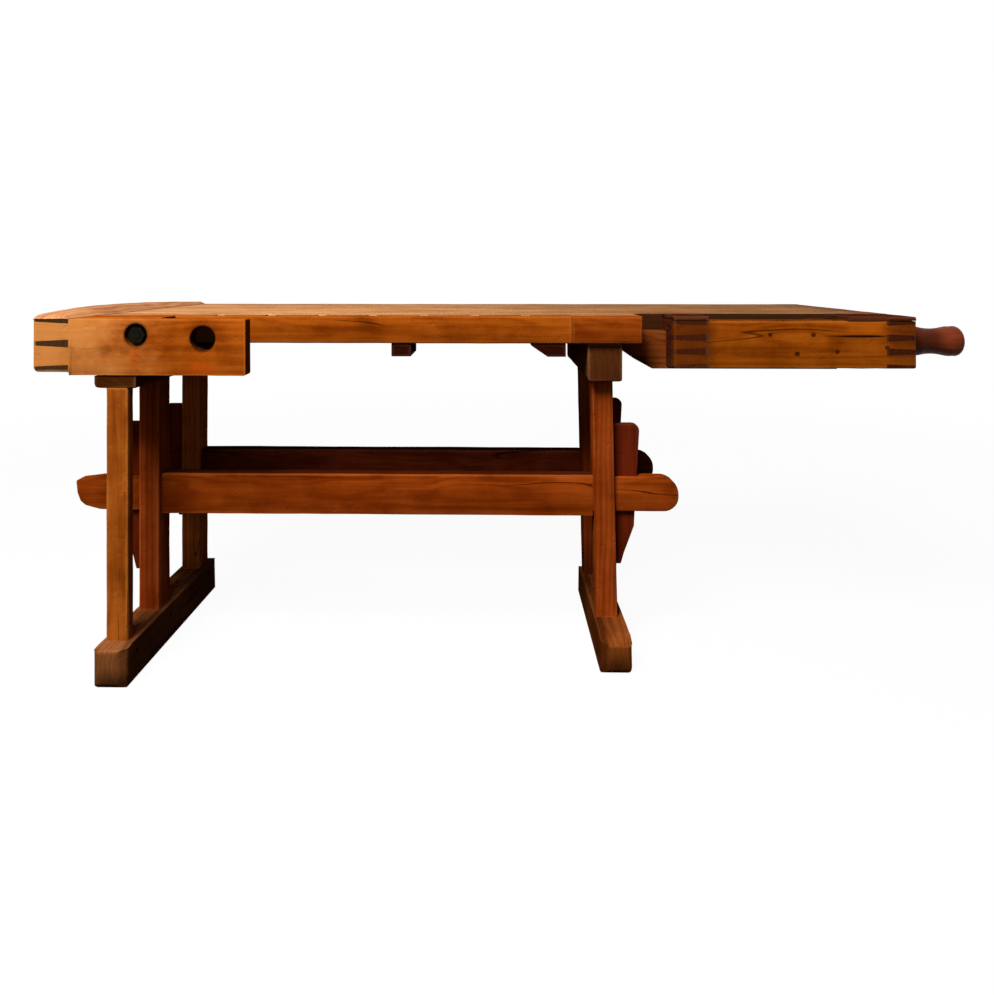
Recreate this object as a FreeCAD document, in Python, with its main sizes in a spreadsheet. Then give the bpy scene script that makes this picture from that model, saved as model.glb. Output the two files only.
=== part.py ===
"""Joiner's workbench with a shoulder vise and a tail vise.

Millimetres, +Z up, +X to the right and -Y towards the joiner at the front. The
origin is on the floor, under the middle of the bench's overall length and depth.
"""
import FreeCAD, Part
import math
import os
import re

import Sketcher

Vector = FreeCAD.Vector

# Driving dimensions, one row each: alias, value in millimetres (or a plain count).
SIZES = [
    # The top, measured over its end caps.
    ("bench_length", 1969.5),
    ("bench_height", 790),
    ("top_depth", 697),
    ("top_thick", 64),
    ("apron_thick", 24),
    ("dog_width", 24),
    ("dog_length", 22),
    ("dog_pitch", 120),
    ("dog_first", 105),
    ("bolt_margin", 60),
    ("jaw_piece_length", 162),
    ("arris", 3),
    ("board_arris", 1.2),
    # End caps.
    ("left_cap_width", 78),
    ("left_cap_height", 118),
    ("left_cap_tail_height", 90),
    ("left_cap_deep_run", 150),
    ("left_cap_slope_run", 60),
    ("cap_apex_set", 219.5),
    ("cap_rise_top", 18.3),
    ("cap_rise_front", 10.2),
    ("cap_rise_front_bow", 15.9),
    ("cap_rise_back", 7),
    ("cap_rise_back_bow", 15.5),
    ("cap_crown_bow", 6.8),
    ("cap_crown_lap", 1),
    ("right_cap_width", 72),
    ("right_cap_height", 90),
    # Shoulder vise at the front left.
    ("arm_projection", 113),
    ("arm_length", 468),
    ("arm_height", 125),
    ("arm_thick", 38),
    ("arm_round", 5),
    ("filler_length", 190),
    ("bore_inset", 373.5),
    ("bore_drop", 43),
    ("bore_radius", 28),
    ("bore_bevel", 4),
    ("pin_edge_depth", 7),
    ("bottom_pin_depth", 13),
    ("middle_pin_drop", 54.5),
    ("pin_root", 17),
    ("pin_tip", 9),
    # Iron tie bolt through the arm, the filler and the front of the top.
    ("bolt_inset", 226.5),
    ("bolt_drop", 35.5),
    ("bolt_radius", 8),
    ("bolt_hole_clearance", 0.3),
    ("counterbore_radius", 25),
    ("counterbore_depth", 19),
    ("washer_radius", 23),
    ("washer_thick", 3),
    ("tie_nut_radius", 19),
    ("tie_nut_thick", 12),
    ("tie_nut_lead", 4),
    ("square_nut_width", 30),
    ("square_nut_thick", 12),
    ("tie_bolt_reach", 46),
    # Bench bolts that draw the end caps against the boards.
    ("cap_bolt_radius", 6),
    ("cap_bolt_length", 132),
    ("cap_bolt_drop", 34),
    ("cap_bolt_sink", 14),
    ("cap_bolt_head_radius", 12),
    ("cap_bolt_head_thick", 9),
    ("cap_bolt_hole_radius", 17),
    ("cap_nut_width", 26),
    ("cap_nut_thick", 11),
    ("cap_nut_setback", 18),
    # Trestles.
    ("left_inset", 183),
    ("trestle_spacing", 1085.5),
    ("left_foot_shift", 2),
    ("right_foot_shift", 10),
    ("left_bearer_shift", -3),
    ("right_bearer_shift", -5),
    ("foot_lead", 35),
    ("left_foot_length", 555.5),
    ("right_foot_length", 472),
    ("foot_width", 72),
    ("left_foot_height", 87),
    ("right_foot_height", 79),
    ("foot_nose_run", 40),
    ("foot_nose_drop", 15),
    ("foot_corner", 14),
    ("post_width", 50),
    ("post_depth", 68),
    ("front_post_thick", 30),
    ("front_post_set", 5),
    ("middle_post_set", 163),
    ("rear_post_set", 420),
    ("tenon_thick", 20),
    ("tenon_shoulder", 6),
    ("tenon_length", 52),
    ("left_bearer_width", 92),
    ("right_bearer_width", 80),
    ("bearer_height", 90),
    ("bearer_back_inset", 185.5),
    ("left_bearer_set", 3.5),
    ("right_bearer_set", 127.5),
    ("bearer_nose_run", 9),
    ("bearer_nose_rise", 3),
    ("post_chamfer", 6),
    ("peg_radius", 6),
    ("peg_fit", 0.05),
    # Stretchers with tusk tenons, and their wedges.
    ("stretcher_bottom", 311),
    ("stretcher_height", 98),
    ("stretcher_thick", 44),
    ("tusk_height", 87),
    ("tusk_thick", 36),
    ("front_tusk_reach", 153),
    ("rear_tusk_reach", 145),
    ("tusk_right_round", 36),
    ("tusk_left_round", 8),
    ("tusk_left_extra", 6),
    ("tusk_brow_run", 70),
    ("tusk_brow_drop", 14),
    ("tusk_nose_run", 5),
    ("tusk_nose_drop", 32),
    ("tusk_rake_run", 3),
    ("tusk_rake_rise", 31),
    ("tusk_chin_run", 12),
    ("tusk_chin_rise", 16),
    ("tusk_sole_run", 45),
    ("wedge_thick", 16),
    ("wedge_top_width", 62),
    ("wedge_tip_width", 17),
    ("wedge_waist_width", 25),
    ("wedge_seat_width", 49),
    ("wedge_above", 121),
    ("wedge_seat_below", 12),
    ("wedge_knee_share", 0.23),
    ("wedge_waist_share", 0.77),
    ("wedge_corner", 16),
    ("front_left_wedge_above", 121),
    ("front_left_wedge_below", 138),
    ("front_right_wedge_above", 121),
    ("front_right_wedge_below", 117),
    ("back_left_wedge_above", 121),
    ("back_left_wedge_below", 88),
    ("back_right_wedge_above", 140),
    ("back_right_wedge_below", 108),
    ("wedge_clearance", 0.3),
    ("mortise_relief", 5),
    # Wooden pins that locate the top on its bearers.
    ("locating_pin_radius", 14),
    ("locating_pin_depth", 30),
    ("locating_pin_inset", 84),
    # Short battens under the front edge.
    ("left_batten_offset", 609.5),
    ("left_batten_width", 46),
    ("right_batten_offset", 117),
    ("right_batten_width", 42),
    ("right_batten_bevel", 38),
    ("batten_height", 30),
    ("batten_bevel_rise", 26),
    ("batten_set", 6),
    ("batten_length", 120),
    # Tail vise at the front right.
    ("rail_clearance", 9.5),
    ("notch_depth", 130),
    ("vise_opening", 70.5),
    ("vise_height", 120),
    ("vise_step", 10),
    ("vise_clearance", 1),
    ("jaw_block_length", 80),
    ("end_block_length", 68),
    ("cover_length", 86),
    ("liner_thick", 10),
    ("cover_margin", 4),
    ("vise_dog_first", 50),
    ("vise_pin_edge_depth", 8),
    ("vise_pin_root", 17),
    ("vise_pin_tip", 11),
    ("vise_pin_pitch", 32),
    # Fixed guide rail and nut block in the notch.
    ("rail_thick", 46),
    ("rail_nose", 35),
    ("rail_nose_drop", 24),
    ("rail_nose_tip_run", 4),
    ("rail_nose_bow_drop", 44),
    ("rail_nose_bow_run", 33),
    ("rail_nose_run", 73),
    ("rail_bottom_drop", 130),
    ("rail_high_drop", 40),
    ("rail_low_drop", 92),
    ("rail_play", 0.3),
    ("screw_tip_gap", 27),
    ("nut_block_inset", 144),
    ("nut_block_length", 60),
    ("nut_block_headroom", 2),
    # Wooden tail screw.
    ("screw_drop", 63),
    ("screw_setback", 86.5),
    ("thread_radius", 20),
    ("thread_depth", 4),
    ("thread_pitch", 12),
    ("thread_clearance", 0.3),
    ("screw_reach", 246),
    ("journal_clearance", 0.1),
    ("neck_length", 101),
    ("hub_radius", 34),
    ("hub_length", 45),
    ("waist_radius", 30),
    ("knob_length", 43),
    ("knob_shoulder_radius", 33),
    ("knob_shoulder_length", 15),
    ("knob_radius", 36),
    ("knob_round", 15),
    ("tommy_hole_radius", 11),
    ("garter_radius", 14),
    ("garter_width", 12),
    ("garter_clearance", 0.3),
    ("garter_key_width", 46),
]

# Places that follow from the sizes: alias and formula.
PLACES = [
    ("x_left", "-(bench_length + neck_length + knob_length) / 2"),
    ("x_right", "x_left + bench_length"),
    ("x_boards", "x_left + left_cap_width"),
    ("x_boards_end", "x_right - right_cap_width"),
    ("x_left_post", "x_left + left_inset"),
    ("x_right_post", "x_left_post + trestle_spacing"),
    ("x_left_foot", "x_left_post + left_foot_shift"),
    ("x_right_foot", "x_right_post + right_foot_shift"),
    ("x_left_bearer", "x_left_post + left_bearer_shift"),
    ("x_right_bearer", "x_right_post + right_bearer_shift"),
    ("x_notch", "x_right_bearer + right_bearer_width / 2 + rail_clearance + rail_nose"),
    ("x_seam", "x_notch - jaw_piece_length"),
    ("x_jaw", "x_notch + vise_opening"),
    ("x_jaw_back", "x_jaw + jaw_block_length"),
    ("x_end_block", "x_right - end_block_length"),
    ("x_nut_block", "x_right - nut_block_inset - nut_block_length"),
    ("x_rail_high", "x_end_block - screw_reach - vise_opening - screw_tip_gap"),
    ("x_rail_end", "x_nut_block + nut_block_length"),
    ("x_bolt", "x_left + bolt_inset"),
    ("x_bore", "x_left + bore_inset"),
    ("y_foot", "-(foot_lead + arm_projection + top_depth) / 2"),
    ("y_arm", "y_foot + foot_lead"),
    ("y_arm_back", "y_arm + arm_thick"),
    ("y_front", "y_arm + arm_projection"),
    ("y_back", "y_front + top_depth"),
    ("y_dogs", "y_front + apron_thick"),
    ("y_boards", "y_dogs + dog_width"),
    ("y_notch", "y_front + notch_depth"),
    ("y_vise_back", "y_notch - vise_clearance"),
    ("y_front_post", "y_arm + front_post_set + front_post_thick / 2"),
    ("y_middle_post", "y_arm + middle_post_set + post_depth / 2"),
    ("y_rear_post", "y_arm + rear_post_set + post_depth / 2"),
    ("y_foot_end", "y_foot + left_foot_length"),
    ("y_bearer_end", "y_back - bearer_back_inset"),
    ("y_screw", "y_front + screw_setback"),
    ("y_rail", "y_notch - rail_thick"),
    ("z_under", "bench_height - top_thick"),
    ("z_bearer", "z_under - bearer_height"),
    ("z_arm", "bench_height - arm_height"),
    ("z_left_cap", "bench_height - left_cap_height"),
    ("z_vise", "bench_height - vise_height"),
    ("z_vise_top", "bench_height - vise_step"),
    ("z_bolt", "bench_height - bolt_drop"),
    ("z_bore", "bench_height - bore_drop"),
    ("z_cap_bolt", "bench_height - cap_bolt_drop"),
    ("z_screw", "bench_height - screw_drop"),
    ("z_stretcher_top", "stretcher_bottom + stretcher_height"),
    ("board_width", "(top_depth - notch_depth) / 3"),
    ("dog_count", "floor((x_seam - dog_first - x_bolt - bolt_margin) / dog_pitch) + 1"),
    ("vise_dog_count", "floor((x_end_block - cover_length - cover_margin - dog_length / 2"
                       " - x_jaw_back - vise_dog_first) / dog_pitch) + 1"),
    ("shoulder_half", "(trestle_spacing - post_width) / 2"),
    ("wedge_slope", "(wedge_top_width - wedge_seat_width)"
                    " / (wedge_above + stretcher_height + wedge_seat_below)"),
]

document = FreeCAD.newDocument("Workbench")
OWNERS = {}
NODES = {}


def fill_sheet(name, rows, mark=""):
    """Write aliased rows into a new sheet; mark turns a row into a formula."""
    sheet = document.addObject("Spreadsheet::Sheet", name)
    for index, (alias, content) in enumerate(rows, start=1):
        OWNERS[alias] = name
        text = link(content) if mark else str(content)
        sheet.set(f"A{index}", alias)
        sheet.set(f"B{index}", mark + text)
        sheet.setAlias(f"B{index}", alias)
    document.recompute()
    return sheet


def link(formula):
    """Name the sheet in front of every alias of a formula."""
    def owned(match):
        word = match.group(0)
        return f"{OWNERS[word]}.{word}" if word in OWNERS else word
    return re.sub(r"[a-z][a-z_]*", owned, str(formula))


def value(formula):
    """The number that a formula gives now."""
    return float(places.evalExpression(link(formula)))


def bind(item, prop, formula):
    item.setExpression(prop, link(formula))


def place(item, corner):
    """Tie the position of an item to three formulas."""
    for axis, formula in zip("xyz", corner):
        bind(item, f".Placement.Base.{axis}", formula)
    return item


def block(name, corner, size):
    """A plain rectangular block from its lowest corner."""
    item = document.addObject("Part::Box", name)
    for prop, formula in zip(("Length", "Width", "Height"), size):
        bind(item, prop, formula)
    return place(item, corner)


TURNS = {
    "x": FreeCAD.Rotation(Vector(0, 1, 0), 90),
    "y": FreeCAD.Rotation(Vector(1, 0, 0), -90),
    "z": FreeCAD.Rotation(),
}


def rod(name, radius, length, start, axis):
    """A cylinder that runs from start along one axis."""
    item = document.addObject("Part::Cylinder", name)
    bind(item, "Radius", radius)
    bind(item, "Height", length)
    item.Placement = FreeCAD.Placement(Vector(), TURNS[axis])
    return place(item, start)


def hexagon(name, radius, length, start, axis):
    """A six-sided bar that runs from start along one axis."""
    item = document.addObject("Part::Prism", name)
    item.Polygon = 6
    bind(item, "Circumradius", radius)
    bind(item, "Height", length)
    item.Placement = FreeCAD.Placement(Vector(), TURNS[axis])
    return place(item, start)


def cone(name, radii, length, start, axis):
    """A frustum that runs from start along one axis."""
    item = document.addObject("Part::Cone", name)
    bind(item, "Radius1", radii[0])
    bind(item, "Radius2", radii[1])
    bind(item, "Height", length)
    item.Placement = FreeCAD.Placement(Vector(), TURNS[axis])
    return place(item, start)


def group(name, items):
    """Several solids kept apart in one object."""
    if len(items) == 1:
        return items[0]
    item = document.addObject("Part::Compound", name)
    item.Links = items
    return item


def fuse(name, items):
    item = document.addObject("Part::MultiFuse", name)
    item.Shapes = items
    item.Refine = True
    return item


def cut(name, base, tools):
    """Take the tools, which lie clear of each other, out of the base."""
    item = document.addObject("Part::Cut", name)
    item.Base = base
    item.Tool = group(name + "_tools", tools)
    item.Refine = True
    return item


def node(name, item):
    """Keep an item as a separate piece of the bench."""
    item.Label = name
    NODES[name] = item
    return item


def origin_plane(body, role):
    return next(part for part in body.Origin.OriginFeatures if part.Role == role)


def outline(body, name, plane, points, arcs=()):
    """A closed sketch on an origin plane, its corners tied to formulas.

    arcs maps a side's index to the formulas of a point that its arc passes.
    """
    sketch = body.newObject("Sketcher::SketchObject", name)
    sketch.AttachmentSupport = (origin_plane(body, plane), [""])
    sketch.MapMode = "FlatFace"
    arcs = dict(arcs)
    corners = [Vector(value(a), value(b), 0) for a, b in points]
    count = len(corners)
    for index, start in enumerate(corners):
        end = corners[(index + 1) % count]
        if index in arcs:
            through = Vector(*(value(formula) for formula in arcs[index]), 0)
            side = Part.Arc(start, through, end)
        else:
            side = Part.LineSegment(start, end)
        sketch.addGeometry(side, False)
    ends = [side_ends(sketch, index, corner) for index, corner in enumerate(corners)]
    for index in range(count):
        following = (index + 1) % count
        sketch.addConstraint(Sketcher.Constraint(
            "Coincident", index, ends[index][1], following, ends[following][0]))
    for index, formulas in enumerate(points):
        fix_point(sketch, index, ends[index][0], formulas)
    for index, formulas in arcs.items():
        through = Vector(*(value(formula) for formula in formulas), 0)
        mark = sketch.addGeometry(Part.Point(through), True)
        fix_point(sketch, mark, 1, formulas)
        sketch.addConstraint(Sketcher.Constraint("PointOnObject", mark, 1, index))
    return sketch


def side_ends(sketch, index, corner):
    """Which vertex of a side is its start, and which its end."""
    start = sketch.getPoint(index, 1)
    return (1, 2) if start.distanceToPoint(corner) < 1e-6 else (2, 1)


def fix_point(sketch, index, vertex, formulas):
    """Tie a sketch point to formulas for its two coordinates."""
    for kind, formula in zip(("DistanceX", "DistanceY"), formulas):
        number = sketch.addConstraint(
            Sketcher.Constraint(kind, -1, 1, index, vertex, value(formula)))
        bind(sketch, f"Constraints[{number}]", formula)


def plate(name, plane, points, thick, centre, arcs=()):
    """A flat piece: an outline padded by half its thickness to each side."""
    body = document.addObject("PartDesign::Body", name)
    sketch = outline(body, name + "_outline", plane, points, arcs)
    pad = body.newObject("PartDesign::Pad", name + "_pad")
    pad.Profile = sketch
    pad.SideType = "Symmetric"
    bind(pad, "Length", thick)
    place(body, centre)
    document.recompute()
    return body


def pad_more(body, name, plane, points, thick):
    """Pad a second outline onto a body, symmetrically as plate does."""
    pad = body.newObject("PartDesign::Pad", name)
    pad.Profile = outline(body, name + "_outline", plane, points)
    pad.SideType = "Symmetric"
    bind(pad, "Length", thick)
    document.recompute()


def pocket(body, name, plane, points, thick):
    """Cut an outline out of a body, symmetrically about the outline's plane."""
    volume = body.Shape.Volume
    hole = body.newObject("PartDesign::Pocket", name)
    hole.Profile = outline(body, name + "_outline", plane, points)
    hole.SideType = "Symmetric"
    bind(hole, "Length", thick)
    document.recompute()
    if body.Shape.Volume > volume - 1:
        raise RuntimeError(f"{name} cuts nothing")


def edges_where(body, wanted):
    """Names of the straight edges whose direction and middle are wanted."""
    names = []
    for number, edge in enumerate(body.Tip.Shape.Edges, start=1):
        if edge.Curve.TypeId != "Part::GeomLine":
            continue
        ends = [vertex.Point for vertex in edge.Vertexes]
        run = (ends[1] - ends[0]).normalize()
        if wanted(run, (ends[0] + ends[1]) / 2):
            names.append(f"Edge{number}")
    return names


def soften(body, size, wanted, kind="Fillet"):
    """Chamfer or fillet a body's chosen edges."""
    base = body.Tip
    names = edges_where(body, wanted)
    feature = body.newObject(f"PartDesign::{kind}", f"{body.Name}_{kind.lower()}")
    feature.Base = (base, names)
    bind(feature, "Radius" if kind == "Fillet" else "Size", size)
    document.recompute()
    return body


def along(axis):
    """A test for the edges that run along one axis."""
    index = "xyz".index(axis)
    return lambda run, middle: abs(run[index]) > 0.999


def front_edges(run, middle):
    """The long edges of a board's front face."""
    return abs(run.x) > 0.999 and middle.y < 1


def board(name, corner, size, arris="board_arris", wanted=along("x")):
    """A block whose long edges are eased, as a planed board's are."""
    length, width, height = size
    outline_points = [("0", "0"), (width, "0"), (width, height), ("0", height)]
    x, y, z = corner
    centre = (f"{x} + ({length}) / 2", y, z)
    body = plate(name, "YZ_Plane", outline_points, length, centre)
    return soften(body, arris, wanted)


def dovetail_pins(name, x_root, x_tip, levels, centre, thick):
    """Pins that run through a board to its face, wide at the root.

    levels holds, for each pin, the heights of its lower and upper edges at the
    root and at the tip. Pins at the top and bottom are half pins.
    """
    pins = []
    for index, (low_root, high_root, low_tip, high_tip) in enumerate(levels, start=1):
        points = [(x_root, low_root), (x_root, high_root), (x_tip, high_tip), (x_tip, low_tip)]
        pins.append(plate(f"{name}_{index}", "XZ_Plane", points, thick, centre))
    return pins


def arm_pin_levels():
    """Heights of the left cap's three pins: top half, middle and bottom half."""
    middle = "bench_height - middle_pin_drop"
    top = "bench_height - pin_edge_depth"
    bottom = "z_left_cap + bottom_pin_depth"
    spread = "(pin_root - pin_tip) / 2"
    return [
        (f"{top} - {spread}", "bench_height", top, "bench_height"),
        (f"{middle} - pin_root / 2", f"{middle} + pin_root / 2",
         f"{middle} - pin_tip / 2", f"{middle} + pin_tip / 2"),
        ("z_left_cap", f"{bottom} + {spread}", "z_left_cap", bottom),
    ]


def vise_pin_levels():
    """Heights of the four pins at each end of the tail vise's front board."""
    spread = "(vise_pin_root - vise_pin_tip) / 2"
    low = "z_vise + vise_pin_edge_depth"
    high = "z_vise_top - vise_pin_edge_depth"
    middle = "(z_vise + z_vise_top) / 2"
    levels = [("z_vise", f"{low} + {spread}", "z_vise", low)]
    for side in (-1, 1):
        centre = f"{middle} + {side} * vise_pin_pitch / 2"
        levels.append((f"{centre} - vise_pin_root / 2", f"{centre} + vise_pin_root / 2",
                       f"{centre} - vise_pin_tip / 2", f"{centre} + vise_pin_tip / 2"))
    levels.append((f"{high} - {spread}", "z_vise_top", high, "z_vise_top"))
    return levels


def cap_bolt_rows():
    """Y centres of the two bench bolts at each end: boards two and four."""
    return ["y_notch + board_width / 2", "y_notch + board_width * 2.5"]


def bolt_passage(name, start, end):
    """A clear hole for the tie bolt between two Y places."""
    return rod(name, "bolt_radius + bolt_hole_clearance", f"({end}) - ({start})",
               ("x_bolt", start, "z_bolt"), "y")


def make_dog_blocks(name, start, end, first, count, height, bottom, from_right):
    """Blocks between the apron and the boards; the gaps are square dog holes."""
    half = "dog_length / 2"
    centres = []
    for index in range(int(value(count))):
        step = f"{first} + {index} * dog_pitch"
        centres.append(f"{end} - ({step})" if from_right else f"{start} + {step}")
    if from_right:
        centres.reverse()
    lows = [start] + [f"{centre} + {half}" for centre in centres]
    highs = [f"{centre} - {half}" for centre in centres] + [end]
    blocks = []
    for index, (low, high) in enumerate(zip(lows, highs), start=1):
        blocks.append(block(f"{name}_{index}", (low, "y_dogs", bottom),
                            (f"({high}) - ({low})", "dog_width", height)))
    return blocks


def make_top():
    """Apron, dog blocks, boards and end caps."""
    base = ("x_boards", "y_front", "z_under")
    apron = board("apron_plank", base, ("x_seam - x_boards", "apron_thick", "top_thick"),
                  "arris", front_edges)
    node("front_apron", cut("front_apron", apron, [
        bolt_passage("apron_bolt_hole", "y_front", "y_dogs")]))

    blocks = make_dog_blocks("dog_block", "x_boards", "x_seam", "dog_first", "dog_count",
                             "top_thick", "z_under", from_right=True)
    blocks[0] = cut("first_dog_block", blocks[0], [
        bolt_passage("dog_bolt_hole", "y_dogs", "y_boards")])
    node("dog_blocks", group("dog_blocks", blocks))

    node("fixed_jaw", board("fixed_jaw", ("x_seam", "y_front", "z_under"),
                            ("jaw_piece_length", "apron_thick + dog_width", "top_thick"),
                            "arris", front_edges))
    make_boards()
    make_left_cap()
    make_right_cap()


def make_boards():
    """The front board stops at the notch; three wide boards run to both caps."""
    inner = board("inner_plank", ("x_boards", "y_boards", "z_under"),
                  ("x_notch - x_boards", "y_notch - y_boards", "top_thick"))
    seat = block("tie_nut_seat",
                 ("x_bolt - square_nut_width / 2",
                  "y_boards + tie_bolt_reach - square_nut_thick", "z_under"),
                 ("square_nut_width", "square_nut_thick",
                  "z_bolt + square_nut_width / 2 - z_under"))
    hole = bolt_passage("inner_bolt_hole", "y_boards", "y_boards + tie_bolt_reach")
    node("inner_board", cut("inner_board", inner, [fuse("inner_bolt_space", [seat, hole])]))

    for index, name in enumerate(("middle_board", "wide_board", "back_board")):
        start = f"y_notch + {index} * board_width"
        plank = board(f"{name}_plank", ("x_boards", start, "z_under"),
                      ("x_boards_end - x_boards", "board_width", "top_thick"))
        tools = locating_tools(name, index)
        if index != 1:
            tools += cap_bolt_tools(name, f"{start} + board_width / 2")
        node(name, cut(name, plank, tools))


def cap_bolt_tools(name, row):
    """Bolt holes into a board's two ends, and the nut seats from below."""
    tools = []
    reach = "cap_bolt_length"
    for side, face, sign in (("left", "x_boards", 1), ("right", "x_boards_end", -1)):
        cap = f"{side}_cap_width"
        inside = f"({reach} + cap_bolt_sink - {cap})"
        start = face if sign > 0 else f"{face} - {inside}"
        hole = rod(f"{name}_{side}_bolt_hole", "cap_bolt_radius + bolt_hole_clearance",
                   inside, (start, row, "z_cap_bolt"), "x")
        far = f"{face} + {sign} * ({inside} - cap_nut_setback)"
        near = f"{far} - cap_nut_thick / 2"
        seat = block(f"{name}_{side}_nut_seat",
                     (near, f"{row} - cap_nut_width / 2", "z_under"),
                     ("cap_nut_thick", "cap_nut_width",
                      "z_cap_bolt + cap_nut_width / 2 - z_under"))
        tools.append(fuse(f"{name}_{side}_bolt_space", [hole, seat]))
    return tools


def locating_rows():
    """Y centres of the pins on each bearer."""
    return ["y_notch + locating_pin_inset", "y_notch + board_width + locating_pin_inset"]


def locating_tools(name, index):
    """Holes for the locating pins that fall under a board."""
    tools = []
    for row in locating_rows()[index:index + 1]:
        for side in ("left", "right"):
            tools.append(rod(f"{name}_{side}_pin_hole", "locating_pin_radius + peg_fit",
                             "locating_pin_depth", (f"x_{side}_bearer", row, "z_under"), "z"))
    return tools


def make_left_cap():
    """Left end cap: it stands a little proud, and its pins hold the arm."""
    depth = "y_back - y_arm_back"
    tail = "bench_height - left_cap_tail_height"
    knee = "y_front - y_arm_back + left_cap_deep_run"
    points = [("0", "z_left_cap"), (knee, "z_left_cap"),
              (f"{knee} + left_cap_slope_run", tail), (depth, tail),
              (depth, "bench_height + cap_rise_back"),
              ("cap_apex_set", "bench_height + cap_rise_top"),
              ("0", "bench_height + cap_rise_front")]
    arcs = {4: (f"({depth} + cap_apex_set) / 2", "bench_height + cap_rise_back_bow"),
            5: ("cap_apex_set / 2", "bench_height + cap_rise_front_bow")}
    centre = ("x_left + left_cap_width / 2", "y_arm_back", "0")
    slab = plate("left_cap_slab", "YZ_Plane", points, "left_cap_width", centre, arcs)
    outer = -value("left_cap_width") / 2
    soften(slab, "arris", lambda run, middle: middle.x < outer + 1 and abs(run.z) > 0.99
           and middle.y > 1)
    pins = arm_pins() + [cap_crown()]
    holes = [rod(f"left_cap_bolt_hole_{index}", "cap_bolt_radius + bolt_hole_clearance",
                 "left_cap_width", ("x_left", row, "z_cap_bolt"), "x")
             for index, row in enumerate(cap_bolt_rows())]
    sinks = [rod(f"left_cap_bolt_sink_{index}", "cap_bolt_hole_radius", "cap_bolt_sink",
                 ("x_left", row, "z_cap_bolt"), "x")
             for index, row in enumerate(cap_bolt_rows())]
    spaces = [fuse(f"left_cap_space_{index}", list(pair))
              for index, pair in enumerate(zip(holes, sinks))]
    body = fuse("left_cap_body", [slab] + pins)
    node("left_end_cap", cut("left_end_cap", body, spaces))


def cap_crown():
    """The left cap's rounded front end, which runs down over its top pin."""
    points = [("0", "bench_height - cap_crown_lap"), ("arm_thick", "bench_height - cap_crown_lap"),
              ("arm_thick", "bench_height + cap_rise_front"), ("0", "bench_height")]
    return plate("left_cap_crown", "YZ_Plane", points, "left_cap_width",
                 ("x_left + left_cap_width / 2", "y_arm", "0"),
                 {2: ("arm_thick * 0.36", "bench_height + cap_crown_bow")})


def arm_pins():
    """The left cap's pins, from the back of the arm to its front face."""
    return dovetail_pins("cap_pin", "x_left + left_cap_width", "x_left", arm_pin_levels(),
                         ("0", "y_arm + arm_thick / 2", "0"), "arm_thick")


def make_right_cap():
    """Right end cap behind the tail vise."""
    slab = board("right_cap_slab", ("x_boards_end", "y_notch", "bench_height - right_cap_height"),
                 ("right_cap_width", "y_back - y_notch", "right_cap_height"),
                 "arris", lambda run, middle: middle.x > -1)
    tools = []
    for index, row in enumerate(cap_bolt_rows()):
        hole = rod(f"right_cap_bolt_hole_{index}", "cap_bolt_radius + bolt_hole_clearance",
                   "right_cap_width", ("x_boards_end", row, "z_cap_bolt"), "x")
        sink = rod(f"right_cap_bolt_sink_{index}", "cap_bolt_hole_radius", "cap_bolt_sink",
                   ("x_right - cap_bolt_sink", row, "z_cap_bolt"), "x")
        tools.append(fuse(f"right_cap_space_{index}", [hole, sink]))
    node("right_end_cap", cut("right_end_cap", slab, tools))


def make_cap_bolts():
    """Hexagon-headed bench bolts with square nuts, two at each end."""
    bolts = []
    nuts = []
    for index, row in enumerate(cap_bolt_rows()):
        for side, sign in (("left", 1), ("right", -1)):
            face = f"x_{side}"
            seat = f"{face} + {sign} * cap_bolt_sink"
            tip = f"{seat} + {sign} * cap_bolt_length"
            low = seat if sign > 0 else tip
            name = f"{side}_cap_bolt_{index}"
            shank = rod(f"{name}_shank", "cap_bolt_radius", "cap_bolt_length",
                        (low, row, "z_cap_bolt"), "x")
            head_low = f"{seat} - cap_bolt_head_thick" if sign > 0 else seat
            head = hexagon(f"{name}_head", "cap_bolt_head_radius", "cap_bolt_head_thick",
                           (head_low, row, "z_cap_bolt"), "x")
            bolts.append(fuse(name, [shank, head]))
            centre = f"{tip} - {sign} * cap_nut_setback"
            nut = block(f"{name}_nut_blank",
                        (f"{centre} - cap_nut_thick / 2", f"{row} - cap_nut_width / 2",
                         "z_cap_bolt - cap_nut_width / 2"),
                        ("cap_nut_thick", "cap_nut_width", "cap_nut_width"))
            bore = rod(f"{name}_nut_bore", "cap_bolt_radius + peg_fit", "cap_nut_thick",
                       (f"{centre} - cap_nut_thick / 2", row, "z_cap_bolt"), "x")
            nuts.append(cut(f"{name}_nut", nut, [bore]))
    node("cap_bolts", group("cap_bolts", bolts))
    node("cap_bolt_nuts", group("cap_bolt_nuts", nuts))


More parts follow.
